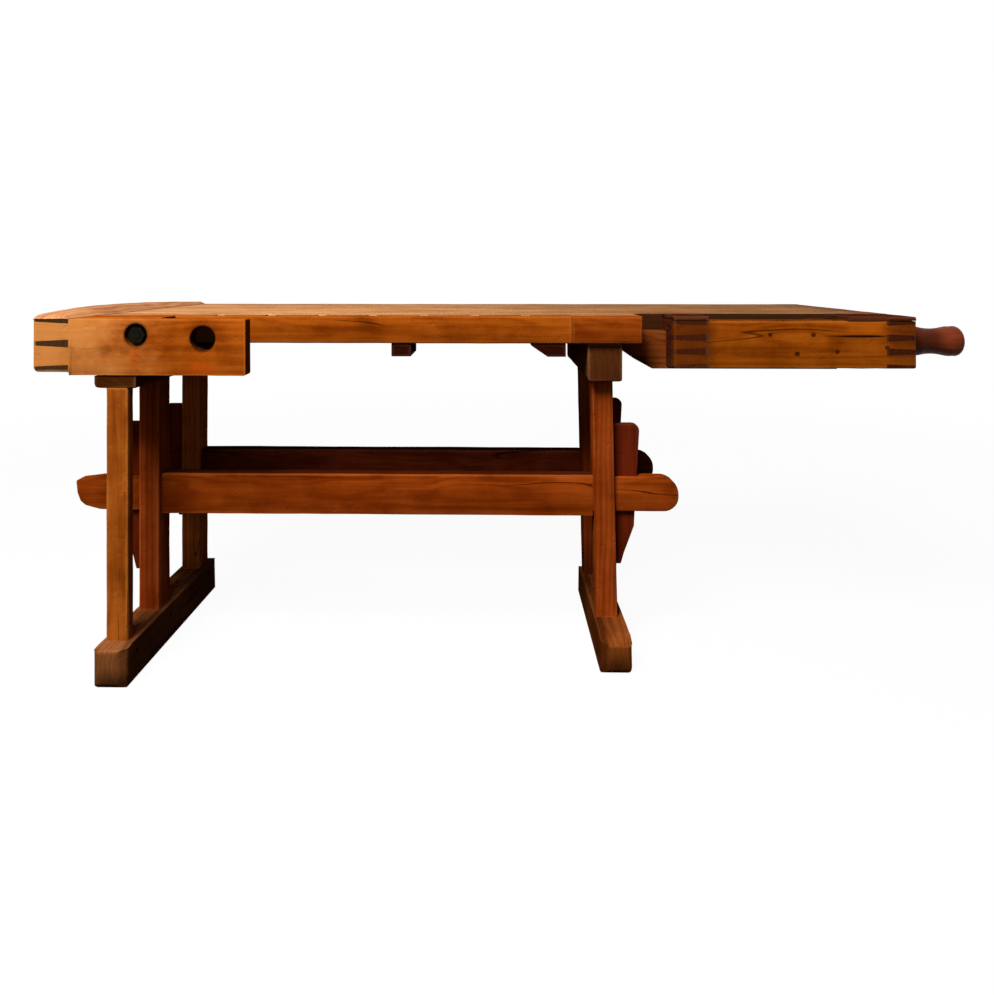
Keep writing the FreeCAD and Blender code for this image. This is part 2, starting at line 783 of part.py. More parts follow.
def make_shoulder_vise():
    """The fixed arm, its filler and the iron tie bolt."""
    points = [("x_left", "z_arm"), ("x_left + arm_length", "z_arm"),
              ("x_left + arm_length", "bench_height"), ("x_left", "bench_height")]
    centre = ("0", "y_arm + arm_thick / 2", "0")
    blank = plate("arm_blank", "XZ_Plane", points, "arm_thick", centre)
    right = value("x_left + arm_length")
    soften(blank, "arm_round", lambda run, middle: abs(middle.x - right) < 1)
    strip = block("arm_lower_strip", ("x_left - arris", "y_arm - arris", "z_arm - arris"),
                  ("left_cap_width + arris", "arm_thick + arris * 2",
                   "z_left_cap - z_arm + arris"))
    sockets = arm_pins_for_cut()
    bore = rod("arm_bore_hole", "bore_radius", "arm_thick", ("x_bore", "y_arm", "z_bore"), "y")
    rim = cone("arm_bore_rim", ("bore_radius + bore_bevel", "bore_radius"), "bore_bevel",
               ("x_bore", "y_arm", "z_bore"), "y")
    sink = rod("arm_counterbore", "counterbore_radius", "counterbore_depth",
               ("x_bolt", "y_arm", "z_bolt"), "y")
    hole = bolt_passage("arm_bolt_hole", "y_arm", "y_arm_back")
    node("shoulder_arm", cut("shoulder_arm", blank, [
        fuse("arm_lower_space", [strip] + sockets),
        fuse("arm_bore_space", [bore, rim]), fuse("arm_bolt_space", [sink, hole])]))

    filler = board("filler_blank", ("x_boards", "y_arm_back", "z_arm"),
                   ("filler_length", "y_front - y_arm_back", "arm_height"))
    node("shoulder_filler", cut("shoulder_filler", filler, [
        bolt_passage("filler_bolt_hole", "y_arm_back", "y_front")]))
    make_tie_bolt()


def arm_pins_for_cut():
    """A second set of the cap's pin shapes, to cut the arm's sockets."""
    return dovetail_pins("arm_socket", "x_left + left_cap_width", "x_left", arm_pin_levels(),
                         ("0", "y_arm + arm_thick / 2", "0"), "arm_thick + arris")


def make_tie_bolt():
    """Long iron bolt with a hexagon nut and washer in the arm's counterbore."""
    seat = "y_arm + counterbore_depth"
    washer_front = f"{seat} - washer_thick"
    nut_front = f"{washer_front} - tie_nut_thick"
    end = "y_boards + tie_bolt_reach"
    node("tie_bolt", rod("tie_bolt", "bolt_radius", f"{end} - ({nut_front} - tie_nut_lead / 2)",
                         ("x_bolt", f"{nut_front} - tie_nut_lead / 2", "z_bolt"), "y"))
    bore = "bolt_radius + peg_fit"
    disc = rod("tie_washer_disc", "washer_radius", "washer_thick",
               ("x_bolt", washer_front, "z_bolt"), "y")
    eye = rod("tie_washer_eye", bore, "washer_thick", ("x_bolt", washer_front, "z_bolt"), "y")
    node("tie_bolt_washer", cut("tie_bolt_washer", disc, [eye]))
    nut = hexagon("tie_nut_blank", "tie_nut_radius", "tie_nut_thick",
                  ("x_bolt", nut_front, "z_bolt"), "y")
    nut_eye = rod("tie_nut_eye", bore, "tie_nut_thick", ("x_bolt", nut_front, "z_bolt"), "y")
    node("tie_bolt_nut", cut("tie_bolt_nut", nut, [nut_eye]))
    back = f"{end} - square_nut_thick"
    plate_nut = block("tie_anchor_blank",
                      ("x_bolt - square_nut_width / 2", back, "z_bolt - square_nut_width / 2"),
                      ("square_nut_width", "square_nut_thick", "square_nut_width"))
    anchor_eye = rod("tie_anchor_eye", bore, "square_nut_thick", ("x_bolt", back, "z_bolt"), "y")
    node("tie_bolt_anchor", cut("tie_bolt_anchor", plate_nut, [anchor_eye]))


POSTS = [
    # name, trestle, centre along Y, depth along Y, takes a stretcher
    ("left_front_post", "left", "y_front_post", "front_post_thick", False),
    ("left_middle_post", "left", "y_middle_post", "post_depth", True),
    ("left_back_post", "left", "y_rear_post", "post_depth", True),
    ("right_front_post", "right", "y_middle_post", "post_depth", True),
    ("right_back_post", "right", "y_rear_post", "post_depth", True),
]


def tenon_blocks(name, side, y, depth):
    """The stub tenons at the top and bottom of a post."""
    x = f"x_{side}_post"
    wide = f"{depth} - tenon_shoulder * 2"
    low = (f"{x} - tenon_thick / 2", f"{y} - ({wide}) / 2")
    size = ("tenon_thick", wide, "tenon_length")
    if depth == "front_post_thick":
        top_length = "tenon_length / 2"
    else:
        top_length = "tenon_length"
    return [block(f"{name}_foot_tenon", (*low, f"{side}_foot_height - tenon_length"), size),
            block(f"{name}_bearer_tenon", (*low, "z_bearer"), size[:2] + (top_length,))]


def peg_rods(name, side, y, depth, radius):
    """Pegs across a post's tenons, through the foot's and the bearer's cheeks."""
    foot_start = f"x_{side}_foot - foot_width / 2"
    rods = [rod(f"{name}_foot_peg", radius, "foot_width",
                (foot_start, y, f"{side}_foot_height - tenon_length / 2"), "x")]
    if depth != "front_post_thick":
        bearer_start = f"x_{side}_bearer - {side}_bearer_width / 2"
        rods.append(rod(f"{name}_bearer_peg", radius, f"{side}_bearer_width",
                        (bearer_start, y, "z_bearer + tenon_length / 2"), "x"))
    return rods


def make_posts():
    """Posts with tenons, through mortises for the tusks, and their pegs."""
    pegs = []
    for name, side, y, depth, has_tusk in POSTS:
        x = f"x_{side}_post"
        shaft = plate(f"{name}_shaft", "XY_Plane",
                      [("-post_width / 2", f"-({depth}) / 2"), ("post_width / 2", f"-({depth}) / 2"),
                       ("post_width / 2", f"({depth}) / 2"), ("-post_width / 2", f"({depth}) / 2")],
                      f"z_bearer - {side}_foot_height",
                      (x, y, f"(z_bearer + {side}_foot_height) / 2"))
        soften(shaft, "post_chamfer", along("z"), "Chamfer")
        body = fuse(f"{name}_body", [shaft] + tenon_blocks(name, side, y, depth))
        tools = peg_rods(f"{name}_hole", side, y, depth, "peg_radius + peg_fit")
        if has_tusk:
            tools.append(block(f"{name}_mortise",
                               (f"{x} - post_width / 2", f"{y} - tusk_thick / 2",
                                "z_stretcher_top - tusk_height"),
                               ("post_width", "tusk_thick", "tusk_height")))
        node(name, cut(name, body, tools))
        pegs += peg_rods(name, side, y, depth, "peg_radius")
    node("post_pegs", group("post_pegs", pegs))


def trestle_tools(side, part):
    """Mortises and peg holes that a foot or a bearer needs."""
    tools = []
    for name, post_side, y, depth, _ in POSTS:
        if post_side != side:
            continue
        foot_tenon, bearer_tenon = tenon_blocks(f"{name}_{part}", side, y, depth)
        rods = peg_rods(f"{name}_{part}", side, y, depth, "peg_radius + peg_fit")
        chosen = [foot_tenon, rods[0]] if part == "foot" else [bearer_tenon] + rods[1:]
        tools.append(fuse(f"{name}_{part}_space", chosen) if len(chosen) > 1 else chosen[0])
    return tools


def make_feet():
    """Sled feet with sloping, rounded ends; the left one is longer at the front."""
    for side in ("left", "right"):
        length = f"{side}_foot_length"
        height = f"{side}_foot_height"
        slope = f"{height} - foot_nose_drop"
        points = [("0", "0"), (length, "0"), (length, slope),
                  (f"{length} - foot_nose_run", height),
                  ("foot_nose_run", height), ("0", slope)]
        body = plate(f"{side}_foot_blank", "YZ_Plane", points, "foot_width",
                     (f"x_{side}_foot", f"y_foot_end - {length}", "0"))
        soften(body, "foot_corner", along("z"))
        node(f"{side}_foot", cut(f"{side}_foot", body, trestle_tools(side, "foot")))


def make_bearers():
    """Top rails of the trestles; the left one steps down under the arm."""
    nose = [("0", "z_bearer + bearer_nose_rise"), ("bearer_nose_run", "z_bearer")]
    left_end = "y_bearer_end - y_arm - left_bearer_set"
    step = "y_front - y_arm - left_bearer_set"
    left = nose + [(left_end, "z_bearer"), (left_end, "z_under"), (step, "z_under"),
                   (step, "z_arm"), ("0", "z_arm")]
    right_end = "y_bearer_end - y_arm - right_bearer_set"
    right = nose + [(right_end, "z_bearer"), (right_end, "z_under"), ("0", "z_under")]
    for side, points in (("left", left), ("right", right)):
        body = plate(f"{side}_bearer_blank", "YZ_Plane", points, f"{side}_bearer_width",
                     (f"x_{side}_bearer", f"y_arm + {side}_bearer_set", "0"))
        floor = value("z_bearer") + 1
        soften(body, "arris", lambda run, middle: middle.z < floor and abs(run.y) > 0.99)
        tools = trestle_tools(side, "bearer")
        for index, row in enumerate(locating_rows()):
            tools.append(rod(f"{side}_bearer_pin_hole_{index}", "locating_pin_radius + peg_fit",
                             "locating_pin_depth",
                             (f"x_{side}_bearer", row, "z_under - locating_pin_depth"), "z"))
        node(f"{side}_bearer", cut(f"{side}_bearer", body, tools))


def make_locating_pins():
    """Stout wooden pins, half in the bearers and half in the boards."""
    pins = []
    for side in ("left", "right"):
        for index, row in enumerate(locating_rows()):
            pins.append(rod(f"{side}_locating_pin_{index}", "locating_pin_radius",
                            "locating_pin_depth * 2",
                            (f"x_{side}_bearer", row, "z_under - locating_pin_depth"), "z"))
    node("locating_pins", group("locating_pins", pins))


def wedge_width(level):
    """Width of a wedge at a height above its widest end's mortise, from its slope."""
    return f"(wedge_top_width - wedge_slope * ({level}))"


def make_stretchers():
    """Long rails whose tusks pass the posts and take the wedges."""
    for place_name, y in (("front", "y_middle_post"), ("back", "y_rear_post")):
        reach = "front_tusk_reach" if place_name == "front" else "rear_tusk_reach"
        name = f"{place_name}_stretcher"
        half = "shoulder_half"
        main = [(f"-{half}", "stretcher_bottom"), (half, "stretcher_bottom"),
                (half, "z_stretcher_top"), (f"-{half}", "z_stretcher_top")]
        centre = ("(x_left_post + x_right_post) / 2", y, "0")
        body = plate(f"{name}_rail", "XZ_Plane", main, "stretcher_thick", centre)
        soften(body, "arris", along("x"))
        tip = f"({half} + post_width + {reach})"
        low = "z_stretcher_top - tusk_height"
        far = f"({tip} + tusk_left_extra)"
        tusk = [(tip, low), (tip, "z_stretcher_top"),
                (f"-({far} - tusk_brow_run)", "z_stretcher_top"),
                (f"-({far} - tusk_nose_run)", "z_stretcher_top - tusk_brow_drop"),
                (f"-{far}", "z_stretcher_top - tusk_nose_drop"),
                (f"-({far} - tusk_rake_run)", f"{low} + tusk_rake_rise"),
                (f"-({far} - tusk_chin_run)", f"{low} + tusk_chin_rise"),
                (f"-({far} - tusk_sole_run)", low)]
        pad_more(body, f"{name}_tusks", "XZ_Plane", tusk, "tusk_thick")
        limit = value(tip) - 1
        soften(body, "tusk_right_round",
               lambda run, middle: middle.x > limit and abs(run.y) > 0.99)
        snout = -value(f"{far} - tusk_nose_run - 1")
        soften(body, "tusk_left_round",
               lambda run, middle: middle.x < snout and abs(run.y) > 0.99)
        for side, sign in (("right", 1), ("left", -1)):
            pocket(body, f"{name}_{side}_wedge_mortise", "XZ_Plane",
                   mortise_outline(sign), "wedge_thick + wedge_clearance * 2")
        node(name, body)


def mortise_outline(sign):
    """The wedge's mortise in a tusk: its outer wall follows the wedge's slope."""
    face = "(shoulder_half + post_width)"
    over = "arris"
    top = wedge_width(f"wedge_above - {over}")
    bottom = wedge_width(f"wedge_above + stretcher_height + {over}")
    corners = [(f"{face} - mortise_relief", f"stretcher_bottom - {over}"),
               (f"{face} + {bottom} + wedge_clearance * 2", f"stretcher_bottom - {over}"),
               (f"{face} + {top} + wedge_clearance * 2", f"z_stretcher_top + {over}"),
               (f"{face} - mortise_relief", f"z_stretcher_top + {over}")]
    return [(f"{sign} * ({x})", z) for x, z in corners]


WEDGES = [
    ("front_left_wedge", "y_middle_post", "left"),
    ("front_right_wedge", "y_middle_post", "right"),
    ("back_left_wedge", "y_rear_post", "left"),
    ("back_right_wedge", "y_rear_post", "right"),
]


def make_wedges():
    """Tapered keys that draw the trestles against the stretchers' shoulders."""
    for name, y, side in WEDGES:
        sign = 1 if side == "right" else -1
        face = f"x_{side}_post + {sign} * (post_width / 2 + wedge_clearance)"
        top = f"z_stretcher_top + {name}_above"
        below = f"{name}_below"
        knee = wedge_width(f"wedge_above + stretcher_height + {below} * wedge_knee_share")
        points = [("0", f"stretcher_bottom - {below}"),
                  ("wedge_tip_width", f"stretcher_bottom - {below}"),
                  ("wedge_waist_width", f"stretcher_bottom - {below} * wedge_waist_share"),
                  (knee, f"stretcher_bottom - {below} * wedge_knee_share"),
                  (wedge_width(f"wedge_above - {name}_above"), top), ("0", top)]
        points = [(f"{sign} * {x}", z) for x, z in points]
        body = plate(f"{name}_body", "XZ_Plane", points, "wedge_thick", (face, y, "0"))
        highest = value(top) - 1
        soften(body, "wedge_corner", lambda run, middle: middle.z > highest
               and abs(middle.x) > 1 and abs(run.y) > 0.99)
        node(name, body)


def make_battens():
    """Two short battens under the front edge; the right one has a long bevel."""
    y = "y_front + batten_set + batten_length / 2"
    bottom = "z_under - batten_height"
    left = [("-left_batten_width / 2", bottom), ("left_batten_width / 2", bottom),
            ("left_batten_width / 2", "z_under"), ("-left_batten_width / 2", "z_under")]
    body = plate("left_batten_body", "XZ_Plane", left, "batten_length",
                 ("x_left_post + left_batten_offset", y, "0"))
    lowest = value(bottom) + 1
    node("left_batten", soften(body, "arris", lambda run, middle: middle.z < lowest))
    edge = "-right_batten_width / 2"
    right = [(edge, bottom), ("right_batten_width / 2", bottom),
             ("right_batten_width / 2", "z_under"), (f"{edge} - right_batten_bevel", "z_under"),
             (f"{edge} - right_batten_bevel", f"{bottom} + batten_bevel_rise")]
    node("right_batten", plate("right_batten_body", "XZ_Plane", right, "batten_length",
                               ("x_right_post - right_batten_offset", y, "0")))


def make_guide_rail():
    """The fixed rail in the notch: its nose runs under the top at the left."""
    bottom = "bench_height - rail_bottom_drop"
    high = "bench_height - rail_high_drop"
    low = "bench_height - rail_low_drop"
    points = [("x_notch - rail_nose", "z_under"), ("x_notch", "z_under"), ("x_notch", high),
              ("x_rail_high", high), ("x_rail_high", low), ("x_rail_end", low),
              ("x_rail_end", bottom), ("x_notch - rail_nose + rail_nose_run", bottom),
              ("x_notch - rail_nose + rail_nose_bow_run", "z_under - rail_nose_bow_drop"),
              ("x_notch - rail_nose + rail_nose_tip_run", "z_under - rail_nose_drop")]
    node("vise_guide_rail", plate("vise_guide_rail", "XZ_Plane", points, "rail_thick",
                                  ("0", "y_notch - rail_thick / 2", "0")))


def make_nut_block():
    """The threaded block fixed in the notch, which the tail screw runs through."""
    bottom = "bench_height - rail_low_drop"
    front = "y_boards + liner_thick + vise_clearance"
    body = block("nut_block_blank", ("x_nut_block", front, bottom),
                 ("nut_block_length", f"y_notch - ({front})",
                  f"z_vise_top - nut_block_headroom - ({bottom})"))
    thread = thread_solid("nut_thread", value("x_nut_block") - value("thread_pitch"),
                          value("nut_block_length") + 2 * value("thread_pitch"),
                          value("thread_clearance"))
    node("vise_nut_block", cut("vise_nut_block", body, [thread]))


def thread_solid(name, start, length, extra):
    """A threaded bar along X, its ridge a right-hand helix.

    extra widens the core, the crest and the ridge's flanks, for the nut's bore.
    The ridge's phase depends only on X, so the bar fits the nut wherever each starts.
    """
    pitch = value("thread_pitch")
    crest = value("thread_radius") + extra
    core = value("thread_radius") - value("thread_depth") + extra
    root = core - 1
    half_base = pitch * 0.38 + extra
    half_crest = pitch * 0.1 + extra
    turns_before = math.floor((start - value("x_nut_block")) / pitch)
    begin = value("x_nut_block") + turns_before * pitch
    turns = math.ceil((start + length - begin) / pitch) + 1
    helix = Part.makeHelix(pitch, turns * pitch, root)
    rise = (crest - root)
    corners = [Vector(root, 0, -half_base), Vector(root + rise, 0, -half_crest),
               Vector(root + rise, 0, half_crest), Vector(root, 0, half_base)]
    profile = Part.makePolygon(corners + corners[:1])
    ridge = Part.Wire(helix).makePipeShell([profile], True, True)
    bar = Part.makeCylinder(core, turns * pitch + 2 * pitch, Vector(0, 0, -pitch))
    solid = bar.fuse(ridge)
    solid.rotate(Vector(), Vector(0, 1, 0), 90)
    solid.translate(Vector(begin, value("y_screw"), value("z_screw")))
    size = crest * 2 + 2
    window = Part.makeBox(length, size * 2, size * 2,
                          Vector(start, value("y_screw") - size, value("z_screw") - size))
    item = document.addObject("Part::Feature", name)
    item.Shape = solid.common(window).Solids[0]
    return item


def make_vise_body():
    """The moving jaw, front board, end block and what lies between them."""
    front_pins = {}
    for end, root, tip in (("jaw", "x_jaw_back", "x_jaw"), ("end", "x_end_block", "x_right")):
        front_pins[end] = [dovetail_pins(f"{end}_{use}", root, tip, vise_pin_levels(),
                                         ("0", "y_front + apron_thick / 2", "0"), "apron_thick")
                           for use in ("pin", "socket")]
    jaw = block("jaw_blank", ("x_jaw", "y_dogs", "z_vise"),
                ("jaw_block_length", "y_vise_back - y_dogs", "vise_height"))
    jaw_lip = block("jaw_lip", ("x_jaw", "y_front", "z_vise_top"),
                    ("jaw_block_length", "apron_thick", "vise_step"))
    channel = block("jaw_channel", ("x_jaw", "y_rail - vise_clearance", "z_vise"),
                    ("jaw_block_length", "rail_thick + vise_clearance",
                     "bench_height - rail_high_drop + rail_play - z_vise"))
    jaw_body = fuse("jaw_body", [jaw, jaw_lip] + front_pins["jaw"][0])
    node("vise_jaw_block", cut("vise_jaw_block", jaw_body, [channel]))

    face = board("vise_face_blank", ("x_jaw", "y_front", "z_vise"),
                 ("x_right - x_jaw", "apron_thick", "vise_height - vise_step"), "arris", front_edges)
    node("vise_front_board", cut("vise_front_board", face, [
        *front_pins["jaw"][1], *front_pins["end"][1]]))

    blocks = make_dog_blocks("vise_dog_block", "x_jaw_back", "x_end_block", "vise_dog_first",
                             "vise_dog_count", "vise_height - vise_step", "z_vise",
                             from_right=False)
    node("vise_dog_blocks", group("vise_dog_blocks", blocks))
    node("vise_liner", block("vise_liner", ("x_jaw_back", "y_boards", "z_vise"),
                             ("x_end_block - x_jaw_back", "liner_thick",
                              "vise_height - vise_step")))
    node("vise_cover_plate", board("vise_cover_plate",
                                   ("x_end_block - cover_length", "y_front", "z_vise_top"),
                                   ("cover_length", "y_vise_back - y_front", "vise_step")))
    make_end_block(front_pins["end"][0])


def make_end_block(pins):
    """The block at the vise's outer end, bored for the screw and slotted for its key."""
    blank = block("end_blank", ("x_end_block", "y_dogs", "z_vise"),
                  ("end_block_length", "y_vise_back - y_dogs", "vise_height"))
    lip = block("end_lip", ("x_end_block", "y_front", "z_vise_top"),
                ("end_block_length", "apron_thick", "vise_step"))
    bore = rod("end_bore", "thread_radius + journal_clearance", "end_block_length",
               ("x_end_block", "y_screw", "z_screw"), "x")
    slot = garter_block("garter_slot", "garter_clearance")
    space = fuse("end_space", [bore, slot])
    node("vise_end_block", cut("vise_end_block", fuse("end_body", [blank, lip] + pins), [space]))
    node("garter_key", garter_block("garter_key", "0"))


def garter_block(name, play):
    """The flat key that enters the screw's groove from below, or its slot."""
    wide = f"(garter_width - garter_clearance * 2 + {play} * 2)"
    across = f"(garter_key_width + {play} * 2)"
    return block(name, (f"x_end_block + end_block_length / 2 - {wide} / 2",
                        f"y_screw - {across} / 2", "z_vise"),
                 (wide, across, "z_screw - garter_radius - garter_clearance - z_vise"))


def turned_piece(name, profile, arcs=()):
    """A solid of revolution about the screw's axis, from its half outline."""
    body = document.addObject("PartDesign::Body", name)
    sketch = outline(body, f"{name}_outline", "XZ_Plane", profile, arcs)
    turned = body.newObject("PartDesign::Revolution", f"{name}_turned")
    turned.Profile = sketch
    turned.ReferenceAxis = (origin_plane(body, "X_Axis"), [""])
    turned.Angle = 360
    place(body, ("x_end_block", "y_screw", "z_screw"))
    document.recompute()
    return body


def make_tail_screw():
    """The wooden screw: a long thread, and a journal grooved for the key."""
    groove = "end_block_length / 2"
    end = "end_block_length + garter_clearance"
    journal = turned_piece("screw_journal", [
        ("0", "0"), ("0", "thread_radius"),
        (f"{groove} - garter_width / 2", "thread_radius"),
        (f"{groove} - garter_width / 2", "garter_radius"),
        (f"{groove} + garter_width / 2", "garter_radius"),
        (f"{groove} + garter_width / 2", "thread_radius"),
        (end, "thread_radius"), (end, "0"),
    ])
    length = value("screw_reach")
    thread = thread_solid("screw_thread", value("x_end_block") - length, length, 0)
    node("tail_screw", fuse("tail_screw", [journal, thread]))
    make_screw_handle()


def make_screw_handle():
    """The screw's waisted neck and round knob, with a hole for a tommy bar."""
    neck = "end_block_length + neck_length"
    knob_end = f"{neck} + knob_length"
    body = turned_piece("handle_blank", [
        ("end_block_length + garter_clearance", "0"),
        ("end_block_length + garter_clearance", "hub_radius"),
        ("end_block_length + hub_length", "hub_radius"),
        (neck, "knob_shoulder_radius"), (f"{neck} + knob_shoulder_length", "knob_radius"),
        (knob_end, "knob_radius"), (knob_end, "0"),
    ], {2: ("end_block_length + (hub_length + neck_length) / 2", "waist_radius")})
    end = value(knob_end)
    base = body.Tip
    names = [f"Edge{number}" for number, edge in enumerate(base.Shape.Edges, start=1)
             if edge.Curve.TypeId == "Part::GeomCircle" and abs(edge.CenterOfMass.x - end) < 0.01]
    rim = body.newObject("PartDesign::Fillet", "knob_rim")
    rim.Base = (base, names)
    bind(rim, "Radius", "knob_round")
    document.recompute()
    hole = rod("tommy_hole", "tommy_hole_radius", "knob_radius * 2 + arris",
               ("x_right + neck_length + knob_length / 2",
                "y_screw", "z_screw - knob_radius - arris / 2"), "z")
    node("screw_handle", cut("screw_handle", body, [hole]))


def check_document():
    """Stop on any failed object or unsound piece."""
    for item in document.Objects:
        if "Invalid" in item.State or "Error" in item.State:
            raise RuntimeError(f"{item.Name}: {item.State}")
    for name, item in NODES.items():
        if item.Shape.isNull() or not item.Shape.isValid() or not item.Shape.Solids:
            raise RuntimeError(f"{name} has no sound shape")


def write_parts():
    """Write one STEP file for each piece."""
    os.makedirs("parts", exist_ok=True)
    for name, item in NODES.items():
        item.Shape.exportStep(f"parts/{name}.step")
        box = item.Shape.BoundBox
        print(f"{name}: {len(item.Shape.Solids)} solid(s), "
              f"x {box.XMin:.1f}..{box.XMax:.1f}, y {box.YMin:.1f}..{box.YMax:.1f}, "
              f"z {box.ZMin:.1f}..{box.ZMax:.1f}")


sizes = fill_sheet("Sizes", SIZES)
places = fill_sheet("Places", PLACES, mark="=")
make_feet()
make_posts()
make_bearers()
make_locating_pins()
make_stretchers()
make_wedges()
make_top()
make_cap_bolts()
make_shoulder_vise()
make_battens()
make_guide_rail()
make_nut_block()
make_vise_body()
make_tail_screw()
document.recompute()
check_document()
write_parts()
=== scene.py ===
"""Dresses a joiner's workbench in worn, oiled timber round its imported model.

All lengths are metres, in the bench's own frame: +X to the right towards the tail
vise, -Y towards the worker at the front, and +Z up from the floor.
"""

import logging
import math
from collections.abc import Callable, Iterator
from contextlib import contextmanager
from dataclasses import dataclass, field, replace
from enum import Enum

import bmesh
import bpy
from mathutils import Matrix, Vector

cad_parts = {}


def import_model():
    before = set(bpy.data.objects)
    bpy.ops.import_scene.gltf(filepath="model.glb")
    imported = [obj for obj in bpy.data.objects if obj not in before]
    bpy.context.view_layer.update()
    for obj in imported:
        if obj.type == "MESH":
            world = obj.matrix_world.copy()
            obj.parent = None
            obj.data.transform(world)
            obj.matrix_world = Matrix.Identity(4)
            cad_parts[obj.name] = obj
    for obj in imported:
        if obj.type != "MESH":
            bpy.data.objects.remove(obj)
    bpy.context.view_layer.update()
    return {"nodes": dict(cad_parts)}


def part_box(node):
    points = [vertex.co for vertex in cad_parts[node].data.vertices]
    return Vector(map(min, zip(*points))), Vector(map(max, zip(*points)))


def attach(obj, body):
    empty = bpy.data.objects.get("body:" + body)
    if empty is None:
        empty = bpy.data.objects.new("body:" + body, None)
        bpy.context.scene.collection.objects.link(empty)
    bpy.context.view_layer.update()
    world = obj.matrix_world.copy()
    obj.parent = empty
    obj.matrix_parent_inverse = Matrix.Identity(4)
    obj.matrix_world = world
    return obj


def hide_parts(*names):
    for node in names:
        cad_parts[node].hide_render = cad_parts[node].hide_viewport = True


LOG = logging.getLogger("workbench")
Piece = bpy.types.Object
Flat = tuple[float, float]
Colour = tuple[float, float, float]
Point = tuple[float, float, float]
Fade = tuple[float, float, float]
Outline = list[tuple[float, ...]]
Test = Callable[[Vector, Vector], bool]
MM = 0.001
OVER = 10 * MM  # how far a cutting tool reaches past what it cuts


def srgb(red: int, green: int, blue: int) -> Colour:
    """Turns a display colour into the linear one that a shader takes.

    Args:
        red: red, from 0 to 255.
        green: green, from 0 to 255.
        blue: blue, from 0 to 255.

    Returns:
        The linear red, green and blue, from 0 to 1.
    """
    parts = [channel / 255 for channel in (red, green, blue)]
    return tuple(
        part / 12.92 if part <= 0.04045 else ((part + 0.055) / 1.055) ** 2.4 for part in parts
    )


def shade(colour: Colour, factor: float) -> Colour:
    """Returns a colour made lighter or darker by a factor."""
    return tuple(channel * factor for channel in colour)


class Grain(Enum):
    """The axis that a timber's fibres run along."""

    X = 0
    Y = 1
    Z = 2


@dataclass(frozen=True)
class Block:
    """A box by its lowest and highest corners."""

    low: Point
    high: Point

    @classmethod
    def of(cls, node: str) -> "Block":
        """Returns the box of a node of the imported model."""
        low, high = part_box(node)
        return cls(tuple(low), tuple(high))

    @classmethod
    def around(cls, piece: Piece) -> "Block":
        """Returns the box of a piece whose place is in its mesh."""
        axes = list(zip(*(tuple(corner) for corner in piece.bound_box)))
        return cls(tuple(map(min, axes)), tuple(map(max, axes)))

    @property
    def centre(self) -> Vector:
        """The middle of the box."""
        return (Vector(self.low) + Vector(self.high)) / 2

    @property
    def size(self) -> Vector:
        """The box's length along each axis."""
        return Vector(self.high) - Vector(self.low)

    def span(self, axis: Grain, over: float = 0.0) -> Flat:
        """Returns where the box starts and ends on an axis, or a length past both."""
        return (self.low[axis.value] - over, self.high[axis.value] + over)

    def trimmed(self, low: Point = (0, 0, 0), high: Point = (0, 0, 0)) -> "Block":
        """Returns the box with a length added to each part of its two corners.

        Args:
            low: what is added to the lowest corner.
            high: what is added to the highest corner.

        Returns:
            The new box.
        """
        return Block(
            tuple(a + b for a, b in zip(self.low, low)),
            tuple(a + b for a, b in zip(self.high, high)),
        )


# --------------------------------------------------------------------------- shaders


class Wire:
    """A shader value, a link or a plain number, that takes part in expressions."""

    def __init__(self, shader: "Shader", source: object) -> None:
        """Holds the shader tree and a socket or a number."""
        self.shader = shader
        self.source = source

    def _math(self, operation: str, *others: object) -> "Wire":
        """Returns the result of a Math node on this value and the others."""
        return self.shader.value("Math", dict(enumerate((self, *others))), operation=operation)

    def __add__(self, other: object) -> "Wire":
        """Returns the sum."""
        return self._math("ADD", other)

    def __sub__(self, other: object) -> "Wire":
        """Returns the difference."""
        return self._math("SUBTRACT", other)

    def __rsub__(self, other: float) -> "Wire":
        """Returns a number less this value."""
        return Wire(self.shader, other) - self

    def __mul__(self, other: object) -> "Wire":
        """Returns the product."""
        return self._math("MULTIPLY", other)

    __radd__, __rmul__ = __add__, __mul__

    def __truediv__(self, other: object) -> "Wire":
        """Returns the quotient."""
        return self._math("DIVIDE", other)

    def __pow__(self, other: object) -> "Wire":
        """Returns this value raised to a power."""
        return self._math("POWER", other)

    def __abs__(self) -> "Wire":
        """Returns the size without its sign."""
        return self._math("ABSOLUTE")

    def low(self, other: object) -> "Wire":
        """Returns the lesser value."""
        return self._math("MINIMUM", other)

    def high(self, other: object) -> "Wire":
        """Returns the greater value."""
        return self._math("MAXIMUM", other)

    def sine(self) -> "Wire":
        """Returns the sine."""
        return self._math("SINE")

    def root(self) -> "Wire":
        """Returns the square root."""
        return self._math("SQRT")

    def step(self, start: float, end: float) -> "Wire":
        """Returns a smooth step from 0 at start to 1 at end."""
        sockets = {"Value": self, "From Min": start, "From Max": end}
        return self.shader.value("MapRange", sockets, interpolation_type="SMOOTHSTEP")


